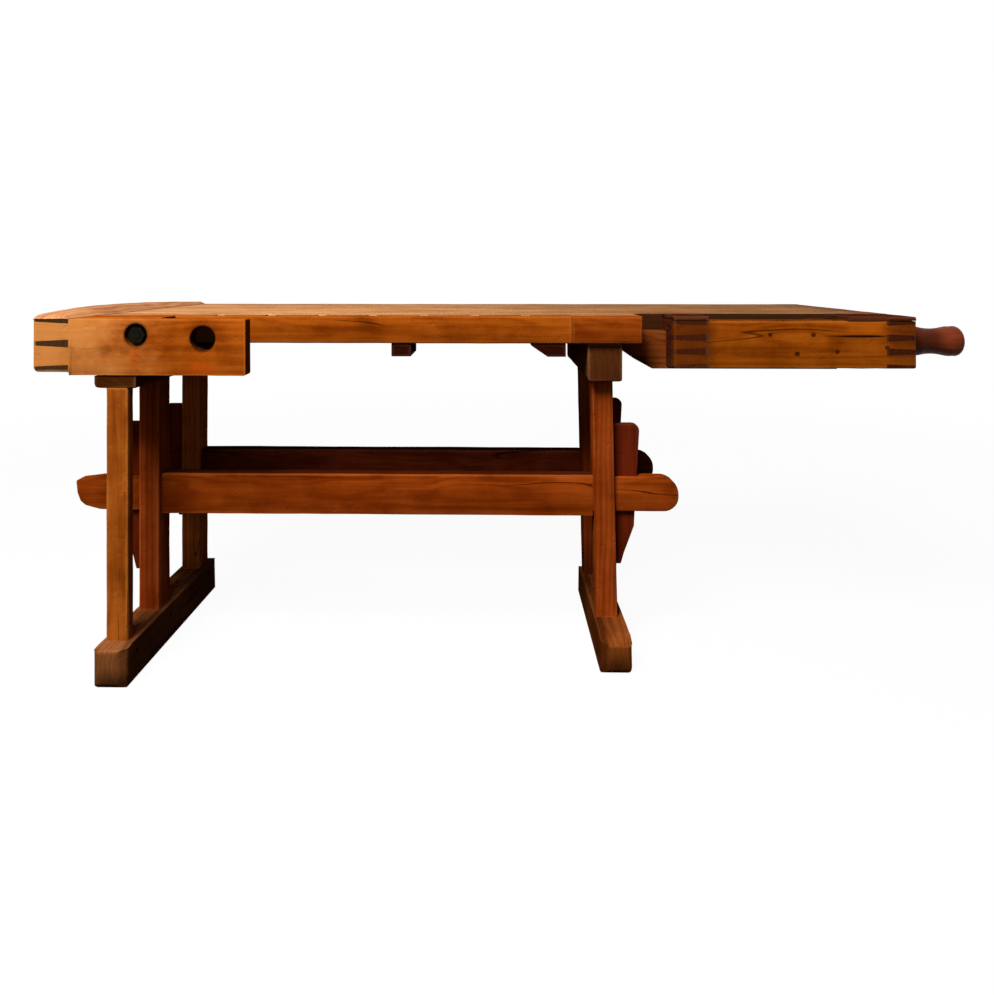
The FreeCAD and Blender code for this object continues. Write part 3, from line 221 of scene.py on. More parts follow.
class Shader:
    """A material's or a world's node tree, built from expressions."""

    def __init__(self, owner: bpy.types.Material | bpy.types.World, end: str) -> None:
        """Empties the owner's tree and adds its output node.

        Args:
            owner: the material or world.
            end: the output node's type.
        """
        self.owner = owner
        owner.use_nodes = True
        self.tree = owner.node_tree
        self.tree.nodes.clear()
        self.output = self.add(end, {})

    def add(self, kind: str, sockets: dict, **settings: object) -> bpy.types.Node:
        """Adds a node.

        Args:
            kind: the node's type, as its name after ShaderNode.
            sockets: numbers, colours, links or wires, by input name or index.
            settings: the node's own attributes.

        Returns:
            The new node.
        """
        node = self.tree.nodes.new("ShaderNode" + kind)
        for key, content in settings.items():
            setattr(node, key, content)
        for key, content in sockets.items():
            content = content.source if isinstance(content, Wire) else content
            socket = node.inputs[key]
            if isinstance(content, bpy.types.NodeSocket):
                self.tree.links.new(content, socket)
            elif socket.type == "RGBA" and len(content) == 3:
                socket.default_value = (*content, 1.0)
            else:
                socket.default_value = content
        return node

    def value(self, kind: str, sockets: dict, output: object = 0, **settings: object) -> Wire:
        """Adds a node and returns one of its outputs as a value for expressions."""
        return Wire(self, self.add(kind, sockets, **settings).outputs[output])

    def mix(self, first: object, second: object, factor: object) -> Wire:
        """Returns the first colour blended with a share of the second."""
        return self.value("Mix", {0: factor, 6: first, 7: second}, 2, data_type="RGBA")

    def tint(self, colour: object, amount: object) -> Wire:
        """Returns a colour multiplied by a value."""
        return self.value("VectorMath", {0: colour, 3: amount}, operation="SCALE")

    def noise(self, place: object, scale: float, detail: float, rough: float) -> Wire:
        """Returns a noise value, from 0 to 1, at a place."""
        sockets = {"Vector": place, "Scale": scale, "Detail": detail, "Roughness": rough}
        return self.value("TexNoise", sockets, noise_dimensions="3D")

    def bump(self, height: Wire, strength: float, distance: float) -> Wire:
        """Returns the normals of a surface that a height raises."""
        return self.value("Bump", {"Strength": strength, "Distance": distance, "Height": height})

    def vector(self, *parts: object) -> Wire:
        """Returns a vector from its three parts."""
        return self.value("CombineXYZ", dict(enumerate(parts)))

    def parts(self, vector: object) -> list[Wire]:
        """Returns the three parts of a vector."""
        return [Wire(self, output) for output in self.add("SeparateXYZ", {0: vector}).outputs]

    def seen(self, *rays: str) -> Wire:
        """Returns 1 for the kinds of ray that are named and 0 for the others.

        Args:
            rays: the kinds, such as Camera.

        Returns:
            The value, which is 0 or 1.
        """
        path = self.add("LightPath", {})
        total = Wire(self, path.outputs[f"Is {rays[0]} Ray"])
        for ray in rays[1:]:
            total = total.high(Wire(self, path.outputs[f"Is {ray} Ray"]))
        return total

    def end(self, kind: str, sockets: dict) -> bpy.types.ID:
        """Ends the tree in one last node and returns its material or world."""
        self.tree.links.new(self.add(kind, sockets).outputs[0], self.output.inputs[0])
        return self.owner


@dataclass(frozen=True)
class Stain:
    """A soft-edged mark on a timber, by its centre and its reach along each axis."""

    centre: Point
    reach: Point
    colour: Colour
    strength: float = 0.8
    blur: float = 0.7
    power: float = 2.0

    def mask(self, place: list[Wire], wobble: Wire) -> Wire:
        """Returns its mask: round or squarish by its power, with a ragged edge.

        Args:
            place: the place's three parts.
            wobble: the noise that makes its edge ragged.

        Returns:
            The mask, from 0 to 1.
        """
        x, y, z = (
            abs((place[axis] - self.centre[axis]) / self.reach[axis]) ** self.power
            for axis in range(3)
        )
        spread = (x + y + z) ** (1 / self.power) + (wobble - 0.5) * self.blur * 1.6
        return 1.0 - spread.step(1 - self.blur, 1.0)


@dataclass(frozen=True)
class Figure:
    """The pattern in one piece's wood, on axes along and across its fibres."""

    shader: Shader
    along: Wire
    across: Wire
    up: Wire
    seed: float

    def noise(
        self, slow: float, fine: float, shift: float = 3.0, detail: float = 3.0,
        rough: float = 0.55,
    ) -> Wire:
        """Returns a noise that is long with the grain.

        Args:
            slow: its scale along the fibres.
            fine: its scale across them.
            shift: how far the seed moves it.
            detail: how many finer layers it has.
            rough: how strong they are.

        Returns:
            The noise, from 0 to 1.
        """
        place = self.shader.vector(
            self.along * slow + self.seed * shift, self.across * fine, self.up * fine
        )
        return self.shader.noise(place, 1.0, detail, rough)

    def rings(self, pitch: float, wide: float, thick: float) -> Wire:
        """Returns the growth rings.

        Args:
            pitch: how many rings there are to a metre.
            wide: half the wider face.
            thick: half the thinner face.

        Returns:
            The rings' value, from 0 in early wood to 1 in late wood.
        """
        sway = self.noise(1.4, 6.0, 1.0)
        side = wide * (0.25 - (self.seed * 7.3) % 0.5)
        depth = thick + 0.03 + 0.03 * ((self.seed * 3.1) % 1.0)
        reach = (
            (self.across - side + (sway - 0.5) * 0.1) ** 2.0
            + (self.up + depth + (sway - 0.5) * 0.08) ** 2.0
        ).root()
        return ((reach * (pitch * math.tau) + sway * 9.0).sine() * 0.5 + 0.5) ** 1.8

    def cracks(self, on_end: Wire) -> Wire:
        """Returns the mask of the drying cracks that follow the grain.

        Args:
            on_end: 1 on the end grain, where they are fainter.

        Returns:
            The mask, from 0 to 1.
        """
        line = abs(self.noise(1.1, 16.0, 5.0, 2.0, 0.4) - 0.5)
        where = self.noise(2.0, 9.0, -1.0, 1.0)
        return (1.0 - line.step(0.002, 0.007)) * where.step(0.56, 0.62) * (1.0 - on_end * 0.5)


@dataclass(frozen=True)
class Timber:
    """An oiled, handled wood: its tone, its figure and how worn it is."""

    name: str
    tone: Colour
    slot: str
    contrast: float = 1.0
    rings: float = 90.0
    ring_strength: float = 0.22
    fibre_strength: float = 0.4
    blotch: float = 0.5
    edge_wear: float = 0.5
    cracks: float = 0.7
    end_tone: float = 0.55
    roughness: float = 0.66
    coat: float = 0.0
    coat_roughness: float = 0.35
    gloss: float = 0.0
    gloss_tint: tuple[float, ...] = (1.0, 0.5, 0.25, 1.0)

    @property
    def pale(self) -> Colour:
        """The tone of the early wood, yellower than the rest.

        Returns:
            The linear colour.
        """
        red, green, blue = self.tone
        lift = 0.3 * self.contrast
        return (red * (1 + lift), green * (1 + lift * 1.15), blue * (1 + lift * 1.5) + 0.002)

    @property
    def deep(self) -> Colour:
        """The tone of the late wood, redder than the rest.

        Returns:
            The linear colour.
        """
        red, green, blue = self.tone
        drop = 0.36 * self.contrast
        return (red * (1 - drop), green * (1 - drop * 1.3), blue * (1 - drop * 1.4))

    @property
    def grime(self) -> Colour:
        """The tone of the dirt in the pores and hollows."""
        red, green, blue = self.tone
        return (red * 0.3, green * 0.2, blue * 0.2)

    @property
    def rubbed(self) -> Colour:
        """The tone of an arris that hands and tools have rubbed bare."""
        red, green, blue = self.tone
        return (red * 1.45 + 0.03, green * 1.8 + 0.02, blue * 2.2 + 0.012)

    @staticmethod
    def _seed(piece: str) -> float:
        """Returns a number of a piece's own, from its name."""
        return (sum(ord(letter) * (index + 3) for index, letter in enumerate(piece)) % 97) / 9

    @staticmethod
    def _edge(local: list[Wire], half: Vector, wobble: Wire) -> Wire:
        """Returns how near a point is to the piece's edges, from 0 to 1.

        Args:
            local: its place from the piece's middle.
            half: half the piece's size.
            wobble: the noise that makes the wear uneven.

        Returns:
            1 on an edge and 0 away from it.
        """
        gaps = [half[axis] - abs(local[axis]) for axis in range(3)]
        small, large = gaps[0].low(gaps[1]), gaps[0].high(gaps[1])
        nearest = small.high(large.low(gaps[2]))
        return 1.0 - (nearest + (wobble - 0.5) * 0.012).step(0.001, 0.0075)

    def material(
        self, piece: str, block: Block, grain: Grain, stains: tuple[Stain, ...] = (),
        fade: Fade | None = None,
    ) -> bpy.types.Material:
        """Builds this timber's material for one piece.

        Args:
            piece: the piece's name, which also sets its figure apart.
            block: the piece's box, which its grain and its worn edges follow.
            grain: the axis of its fibres.
            stains: marks at given places.
            fade: where along X the wood starts and ends to darken, and the last tone.

        Returns:
            The material.
        """
        shader = Shader(bpy.data.materials.new(f"{self.name}_{piece}"), "OutputMaterial")
        source = shader.add("TexCoord", {})
        place, facing = (shader.parts(source.outputs[name]) for name in ("Object", "Normal"))
        half, long, seed = block.size / 2, grain.value, self._seed(piece)
        local = [place[axis] - block.centre[axis] for axis in range(3)]
        wide, thick = sorted((a for a in range(3) if a != long), key=lambda a: -half[a])
        along, across, up = local[long], local[wide], local[thick]

        figure = Figure(shader, along, across, up, seed)
        ring = figure.rings(self.rings, half[wide], half[thick])
        pores, fibres, streak = (
            figure.noise(slow, fine) for slow, fine in ((6.0, 230.0), (2.2, 70.0), (1.2, 24.0))
        )
        spot = shader.vector(along + seed, across + seed * 0.37, up - seed * 0.21)
        blotch = shader.noise(spot, 9.0, 4.0, 0.62)
        cloud = shader.noise(spot, 2.6, 2.0, 0.5)
        dents = shader.noise(spot, 55.0, 2.0, 0.4).step(0.64, 0.73)
        on_end = abs(facing[long]).step(0.6, 0.8)
        edge = self._edge(local, half, blotch)
        crack = figure.cracks(on_end)

        share = (
            ring * self.ring_strength
            + (pores - 0.5) * self.fibre_strength
            + (fibres - 0.5) * self.fibre_strength * 1.6
            + (streak - 0.5) * 0.9
            + (blotch - 0.5) * self.blotch * 1.5
            + (cloud - 0.5) * self.blotch * 1.4
            + 0.36
        )
        end_share = (ring * 0.2 + pores * 0.3 + blotch * 0.5).step(0.2, 0.9)
        end_colour = shader.mix(
            shade(self.tone, self.end_tone * 1.2), shade(self.tone, self.end_tone * 0.7), end_share
        )
        dirt = (blotch * 0.6 + fibres * 0.4).step(0.54, 0.7)
        colour = shader.mix(self.pale, self.deep, share.step(0.0, 0.85))
        colour = shader.mix(colour, end_colour, on_end)
        colour = shader.mix(colour, self.grime, dirt * 0.45)
        colour = shader.mix(colour, self.rubbed, edge * self.edge_wear)
        colour = shader.mix(colour, shade(self.grime, 0.4), crack * self.cracks)
        for stain in stains:
            colour = shader.mix(colour, stain.colour, stain.mask(place, blotch) * stain.strength)
        if fade:
            start, end, tone = fade
            colour = shader.tint(colour, 1.0 + place[0].step(start, end) * (tone - 1.0))

        height = pores * 0.25 + fibres * 0.35 + ring * 0.12 - crack * 1.6 - edge * 0.2
        height = height - dents * 0.6 - (blotch - 0.5) * 0.8
        return shader.end("BsdfPrincipled", {
            "Base Color": colour,
            "Roughness": self.roughness + (blotch - 0.5) * 0.25 + on_end * 0.15 + crack * 0.2,
            "Normal": shader.bump(height, 0.6, 1.4 * MM),
            "Coat Weight": self.coat,
            "Coat Roughness": self.coat_roughness,
            "Specular IOR Level": self.gloss,
            "Specular Tint": self.gloss_tint,
        })


@dataclass(frozen=True)
class Iron:
    """Old bolt iron with rust in its hollows."""

    name: str
    metal: Colour
    rust: Colour
    rust_share: float = 0.5
    roughness: float = 0.55
    gloss: float = 0.05

    def material(self, piece: str, *unused: object) -> bpy.types.Material:
        """Builds the iron's material for one piece.

        Args:
            piece: the piece's name.
            unused: the box, grain and marks that a timber takes; not used here.

        Returns:
            The material.
        """
        shader = Shader(bpy.data.materials.new(f"{self.name}_{piece}"), "OutputMaterial")
        place = shader.add("TexCoord", {}).outputs["Object"]
        coarse = shader.noise(place, 60.0, 4.0, 0.6)
        fine = shader.noise(place, 420.0, 3.0, 0.6)
        mask = (coarse * 0.7 + fine * 0.3).step(0.62 - self.rust_share * 0.3, 0.7)
        return shader.end("BsdfPrincipled", {
            "Base Color": shader.mix(self.metal, self.rust, mask),
            "Metallic": 0.85 - mask * 0.75,
            "Roughness": self.roughness + mask * 0.3,
            "Specular IOR Level": self.gloss,
            "Normal": shader.bump(coarse * 0.6 + fine * 0.4 + mask * 0.3, 0.5, 0.6 * MM),
        })


# ------------------------------------------------------------------------- finishes

TOP = Timber("top_timber", srgb(199, 142, 91), "top_wood", rings=70, contrast=0.8, edge_wear=0.3,
             roughness=0.62)
CAP = Timber("cap_timber", srgb(188, 130, 84), "cap_wood", contrast=0.9, end_tone=0.11,
             edge_wear=0.4)
ARM = Timber("arm_timber", srgb(164, 80, 13), "arm_wood", contrast=0.9, blotch=0.7, edge_wear=0.35)
APRON = Timber("apron_timber", srgb(148, 70, 7), "apron_wood", blotch=0.65, edge_wear=0.3)
JAW = Timber("jaw_timber", srgb(139, 61, 7), "jaw_wood", blotch=0.65, edge_wear=0.3)
VISE = Timber("vise_timber", srgb(152, 75, 7), "vise_wood", blotch=0.75, edge_wear=0.25)
BLOCKS = Timber("block_timber", srgb(78, 35, 16), "vise_wood", blotch=0.7, end_tone=0.75)
DOGS = Timber("dog_timber", srgb(166, 104, 56), "dog_wood", edge_wear=0.2)
FRAME = Timber("frame_timber", srgb(150, 72, 16), "frame_wood", blotch=0.7, edge_wear=0.6,
               end_tone=0.6)
FOOT = Timber("foot_timber", srgb(120, 62, 16), "frame_wood", blotch=0.8, end_tone=0.8)
STRETCHER = Timber("stretcher_timber", srgb(142, 60, 8), "stretcher_wood", blotch=0.65)
WEDGE = Timber("wedge_timber", srgb(96, 32, 7), "wedge_wood", edge_wear=0.35)
PEG = Timber("peg_timber", srgb(80, 36, 10), "peg_wood", edge_wear=0.1)
DARK = Timber("dark_timber", srgb(104, 50, 14), "dark_wood", edge_wear=0.3)
SCREW = Timber("screw_timber", srgb(74, 30, 10), "screw_wood", ring_strength=0.08,
               edge_wear=0.0, roughness=0.5, coat=0.03, gloss=0.06, end_tone=0.8)
BOLT = Iron("bolt_iron", srgb(20, 20, 15), srgb(26, 15, 8))
WASHER = Iron("washer_iron", srgb(26, 26, 20), srgb(32, 20, 12), 0.4)


# --------------------------------------------------------------------- bench joinery


class Joiner:
    """Shapes pieces of timber with the modelling operators."""

    @staticmethod
    def pick(*pieces: Piece) -> None:
        """Selects only these pieces, the last one active.

        Args:
            pieces: the pieces.
        """
        bpy.ops.object.select_all(action="DESELECT")
        for piece in pieces:
            piece.select_set(True)
            bpy.context.view_layer.objects.active = piece

    @classmethod
    @contextmanager
    def editing(
        cls, piece: Piece, everything: bool = True, edges: bool = False
    ) -> Iterator[bmesh.types.BMesh]:
        """Opens a piece's mesh for editing.

        Args:
            piece: the piece.
            everything: starts with all of it selected, and otherwise with nothing.
            edges: selects by edges, and otherwise by corners.

        Yields:
            The mesh, to select in.
        """
        cls.pick(piece)
        bpy.ops.object.mode_set(mode="EDIT")
        bpy.ops.mesh.select_mode(type="EDGE" if edges else "VERT")
        bpy.ops.mesh.select_all(action="SELECT" if everything else "DESELECT")
        yield bmesh.from_edit_mesh(piece.data)
        bpy.ops.object.mode_set(mode="OBJECT")

    @staticmethod
    def _settle(name: str) -> Piece:
        """Names the new primitive and moves its place into its mesh.

        Args:
            name: its name.

        Returns:
            The object, at the origin.
        """
        piece = bpy.context.active_object
        piece.name = name
        bpy.ops.object.transform_apply(location=True, rotation=True, scale=True)
        return piece

    @classmethod
    def cube(cls, name: str, block: Block) -> Piece:
        """Adds a box-shaped blank.

        Args:
            name: the piece's name.
            block: the box that it fills.

        Returns:
            The new object, at the origin.
        """
        bpy.ops.object.select_all(action="DESELECT")
        bpy.ops.mesh.primitive_cube_add(size=1, location=block.centre)
        bpy.context.active_object.scale = block.size
        return cls._settle(name)

    @classmethod
    def rod(cls, centre: Point, radius: float, length: float, axis: Grain) -> Piece:
        """Adds a round blank along X or Y.

        Args:
            centre: its middle.
            radius: its radius.
            length: its length.
            axis: the axis that it runs along.

        Returns:
            The new object, at the origin.
        """
        turn = (0, math.pi / 2, 0) if axis is Grain.X else (math.pi / 2, 0, 0)
        bpy.ops.object.select_all(action="DESELECT")
        bpy.ops.mesh.primitive_cylinder_add(
            vertices=48, radius=radius, depth=length, location=centre, rotation=turn
        )
        return cls._settle("rod")

    @classmethod
    def plate(cls, name: str, corners: Outline, axis: Grain, span: Flat, steps: int = 5) -> Piece:
        """Draws an outline point by point and extrudes it.

        Args:
            name: the piece's name.
            corners: each corner's place on the two other axes and, if it is round, its radius.
            axis: the axis that it is extruded along.
            span: where it starts and ends on that axis.
            steps: how many runs stand for each rounding.

        Returns:
            The new object, at the origin.
        """
        outline = cls._rounded(corners, steps)
        first, second = (other for other in range(3) if other != axis.value)
        bpy.ops.object.select_all(action="DESELECT")
        bpy.ops.mesh.primitive_circle_add(vertices=len(outline), radius=1, fill_type="NGON")
        piece = cls._settle(name)
        target, rise = Vector((0, 0, 0)), Vector((0, 0, 0))
        rise[axis.value] = span[1] - span[0]
        with cls.editing(piece):
            for index, (a, b) in enumerate(outline):
                bpy.ops.mesh.select_all(action="DESELECT")
                mesh = bmesh.from_edit_mesh(piece.data)
                mesh.verts.ensure_lookup_table()
                mesh.verts[index].select = True
                target[axis.value], target[first], target[second] = span[0], a, b
                bpy.ops.transform.translate(value=target - mesh.verts[index].co)
            bpy.ops.mesh.select_all(action="SELECT")
            bpy.ops.mesh.extrude_region_move(TRANSFORM_OT_translate={"value": rise})
            bpy.ops.mesh.select_all(action="SELECT")
            bpy.ops.mesh.normals_make_consistent(inside=False)
        return piece

    @staticmethod
    def _rounded(corners: Outline, steps: int) -> list[Flat]:
        """Returns an outline's points, with those corners rounded that have a radius.

        Args:
            corners: each corner's place and, if it is round, its radius.
            steps: how many runs stand for each rounding.

        Returns:
            The points, in order.
        """
        points: list[Flat] = []
        for index, (x, y, *rest) in enumerate(corners):
            radius = rest[0] if rest else 0
            if radius <= 0:
                points.append((x, y))
                continue
            here = Vector((x, y))
            before = (Vector(corners[index - 1][:2]) - here).normalized()
            after = (Vector(corners[(index + 1) % len(corners)][:2]) - here).normalized()
            half = before.angle(after) / 2
            reach = radius / math.tan(half)
            middle = here + (before + after).normalized() * radius / math.sin(half)
            for step in range(steps + 1):
                chord = (here + before * reach).lerp(here + after * reach, step / steps)
                points.append(tuple(middle + (chord - middle).normalized() * radius))
        return points

    @staticmethod
    def bow(start: Flat, middle: Flat, end: Flat, steps: int) -> list[Flat]:
        """Returns points along a shallow bow through three places, without the last.

        Args:
            start: where it starts.
            middle: the place half-way along it.
            end: where it ends.
            steps: how many points there are.

        Returns:
            The points, in order.
        """
        points = []
        for step in range(steps):
            at = step / steps
            spread = (2 * (1 - at) * (0.5 - at), 4 * at * (1 - at), 2 * at * (at - 0.5))
            points.append(tuple(
                sum(weight * place[side] for weight, place in zip(spread, (start, middle, end)))
                for side in range(2)
            ))
        return points

    @classmethod
    def rings(cls, piece: Piece, axis: Grain, spacing: float) -> None:
        """Scores evenly spaced loops round a piece, so that it can wear unevenly.

        Args:
            piece: the piece.
            axis: the axis that the loops go round.
            spacing: about how far apart they are.
        """
        block = Block.around(piece)
        start, length = block.low[axis.value], block.size[axis.value]
        count = max(1, round(length / spacing))
        point, normal = block.centre, Vector((0, 0, 0))
        normal[axis.value] = 1
        with cls.editing(piece):
            for index in range(1, count):
                point[axis.value] = start + length * index / count
                bpy.ops.mesh.select_all(action="SELECT")
                bpy.ops.mesh.bisect(plane_co=point, plane_no=normal)

    @classmethod
    def ease(
        cls, piece: Piece, width: float, segments: int = 3, where: Test | None = None
    ) -> None:
        """Rounds the sharp edges of a piece.

        Args:
            piece: the piece.
            width: how far the rounding reaches.
            segments: how many runs stand for it.
            where: a test of an edge's middle and its direction, if not all are rounded.
        """
        with cls.editing(piece, everything=False, edges=True) as mesh:
            if where:
                for edge in mesh.edges:
                    first, second = (vertex.co for vertex in edge.verts)
                    if len(edge.link_faces) == 2 and edge.calc_face_angle() > 0.2:
                        edge.select = where((first + second) / 2, (second - first).normalized())
                bmesh.update_edit_mesh(piece.data)
            else:
                bpy.ops.mesh.edges_select_sharp(sharpness=math.radians(25))
            bpy.ops.mesh.bevel(offset=width, segments=segments, affect="EDGES", clamp_overlap=True)

    @classmethod
    def plane(cls, piece: Piece, point: Point, normal: Point) -> None:
        """Planes off all of a piece that lies beyond a point, along a normal."""
        with cls.editing(piece):
            bpy.ops.mesh.bisect(plane_co=point, plane_no=normal, clear_outer=True, use_fill=True)

    @classmethod
    def carve(cls, piece: Piece, *tools: Piece, keep: bool = False) -> None:
        """Cuts tools out of a piece, or keeps only what lies in them.

        Args:
            piece: the piece that is cut.
            tools: solids, which are used up.
            keep: keeps the shared part instead of cutting it away.
        """
        for tool in tools:
            cls.pick(piece)
            modifier = piece.modifiers.new("carve", "BOOLEAN")
            modifier.operation = "INTERSECT" if keep else "DIFFERENCE"
            modifier.solver = "EXACT"
            modifier.object = tool
            bpy.ops.object.modifier_apply(modifier=modifier.name)
            bpy.data.objects.remove(tool, do_unlink=True)

    @classmethod
    def mould(cls, piece: Piece, corners: Outline, axis: Grain) -> None:
        """Keeps only what lies inside an outline, seen along an axis."""
        span = Block.around(piece).span(axis, OVER)
        cls.carve(piece, cls.plate("mould", corners, axis, span), keep=True)

    @classmethod
    def copy(cls, piece: Piece, name: str) -> Piece:
        """Returns a copy of a piece with a mesh of its own.

        Args:
            piece: the piece.
            name: the copy's name.

        Returns:
            The copy.
        """
        twin = piece.copy()
        twin.data = piece.data.copy()
        twin.name = name
        bpy.context.collection.objects.link(twin)
        return twin

    @classmethod
    def join(cls, first: Piece, *others: Piece) -> None:
        """Joins pieces into the first."""
        cls.pick(*others, first)
        bpy.ops.object.join()

    @classmethod
    def age(
        cls, piece: Piece, axis: Grain, spacing: float, depth: float, waves: float,
        ease: float = 0.0, segments: int = 2, where: Test | None = None, above: float = -1.0,
        below: float = 2.0,
    ) -> None:
        """Scores a piece with loops, rounds its edges and wears its surface inwards.

        Args:
            piece: the piece.
            axis: the axis that the loops go round.
            spacing: how far apart they are.
            depth: the deepest wear.
            waves: the size of the wear's waves.
            ease: how far the edges are rounded, if they are.
            segments: how many runs stand for each rounding.
            where: a test of the edges that are rounded.
            above: the height that the wear starts from.
            below: the height that it ends at.
        """
        cls.rings(piece, axis, spacing)
        if ease:
            cls.ease(piece, ease, segments, where)
        wear = piece.vertex_groups.new(name="wear")
        wear.add([v.index for v in piece.data.vertices if above < v.co.z < below], 1.0, "REPLACE")
        texture = bpy.data.textures.new("wear", "CLOUDS")
        texture.noise_scale = waves
        texture.noise_depth = 2
        cls.pick(piece)
        modifier = piece.modifiers.new("wear", "DISPLACE")
        modifier.texture = texture
        modifier.texture_coords = "GLOBAL"
        modifier.vertex_group = "wear"
        modifier.mid_level = 0
        modifier.strength = -depth
        bpy.ops.object.modifier_apply(modifier=modifier.name)
        piece.vertex_groups.clear()
        bpy.data.textures.remove(texture)


@dataclass(frozen=True)
class Dovetails:
    """The pins at one end of a board: each one's heights at its root and its tip."""

    root: float
    tip: float
    levels: tuple[tuple[float, float, float, float], ...]
    pin_ease: float = 0.5 * MM

    def cut(self, board: Piece) -> list[Piece]:
        """Cuts the pins' sockets out of a board.

        Args:
            board: the board, whose surface the pins share.

        Returns:
            The pins, as worn and rounded as the board.
        """
        span = Block.around(board).span(Grain.Y, OVER)
        pins = []
        for low_root, high_root, low_tip, high_tip in self.levels:
            outline = [(self.root, low_root), (self.root, high_root),
                       (self.tip, high_tip), (self.tip, low_tip)]
            prism, socket = (Joiner.plate("socket", outline, Grain.Y, span) for _ in range(2))
            pins.append(Joiner.copy(board, "pin"))
            Joiner.carve(pins[-1], prism, keep=True)
            Joiner.ease(pins[-1], self.pin_ease, 1)
            Joiner.carve(board, socket)
        return pins


@dataclass(frozen=True)
class BoltSeats:
    """The seats of the two bench bolts in an end cap's outer face."""

    rows: Flat = (-0.05, 0.328)
    height: float = 0.756
    radius: float = 17 * MM
    depth: float = 14 * MM

    def bore(self, cap: Piece, face: float) -> None:
        """Bores the seats into a cap.

        Args:
            cap: the end cap.
            face: where its outer face is along X.
        """
        for row in self.rows:
            place = (face, row, self.height)
            Joiner.carve(cap, Joiner.rod(place, self.radius, 2 * self.depth, Grain.X))


@dataclass
class Assembly:
    """What every sub-assembly shares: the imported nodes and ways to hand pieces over."""

    nodes: dict[str, Piece]
    body: str = "bench"

    def hand_over(
        self, piece: Piece, finish: Timber, grain: Grain, *nodes: str, body: str | None = None,
        stains: tuple[Stain, ...] = (), fade: Fade | None = None, block: Block | None = None,
        angle: float = 32.0,
    ) -> None:
        """Gives a finished piece its material, its body and the nodes it stands for.

        Args:
            piece: the piece.
            finish: its timber.
            grain: the axis of its fibres.
            nodes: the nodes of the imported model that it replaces.
            body: the body that it rides on, if not the assembly's own.
            stains: marks at given places.
            fade: a change of tone along X.
            block: the box that its figure follows, if not its own.
            angle: the sharpest edge, in degrees, that is shaded smooth.
        """
        Joiner.pick(piece)
        bpy.ops.object.shade_smooth_by_angle(angle=math.radians(angle))
        made = finish.material(piece.name, block or Block.around(piece), grain, stains, fade)
        piece.data.materials.clear()
        piece.data.materials.append(made)
        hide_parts(*nodes)
        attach(piece, body or self.body)
        LOG.info("%s: %d faces", piece.name, len(piece.data.polygons))

    def dress(
        self, finish: Timber | Iron, grain: Grain, *names: str, stains: tuple[Stain, ...] = (),
        fade: Fade | None = None,
    ) -> None:
        """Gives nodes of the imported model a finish, and leaves their shapes.

        Args:
            finish: their timber or iron.
            grain: the axis of their fibres.
            names: the nodes.
            stains: marks at given places.
            fade: a change of tone along X.
        """
        for name in names:
            node = self.nodes[name]
            made = finish.material(node.name, Block.of(node.name), grain, stains, fade)
            for slot in node.material_slots:
                slot.material = made
            if not node.material_slots:
                node.data.materials.append(made)
            LOG.info("%s dressed", node.name)


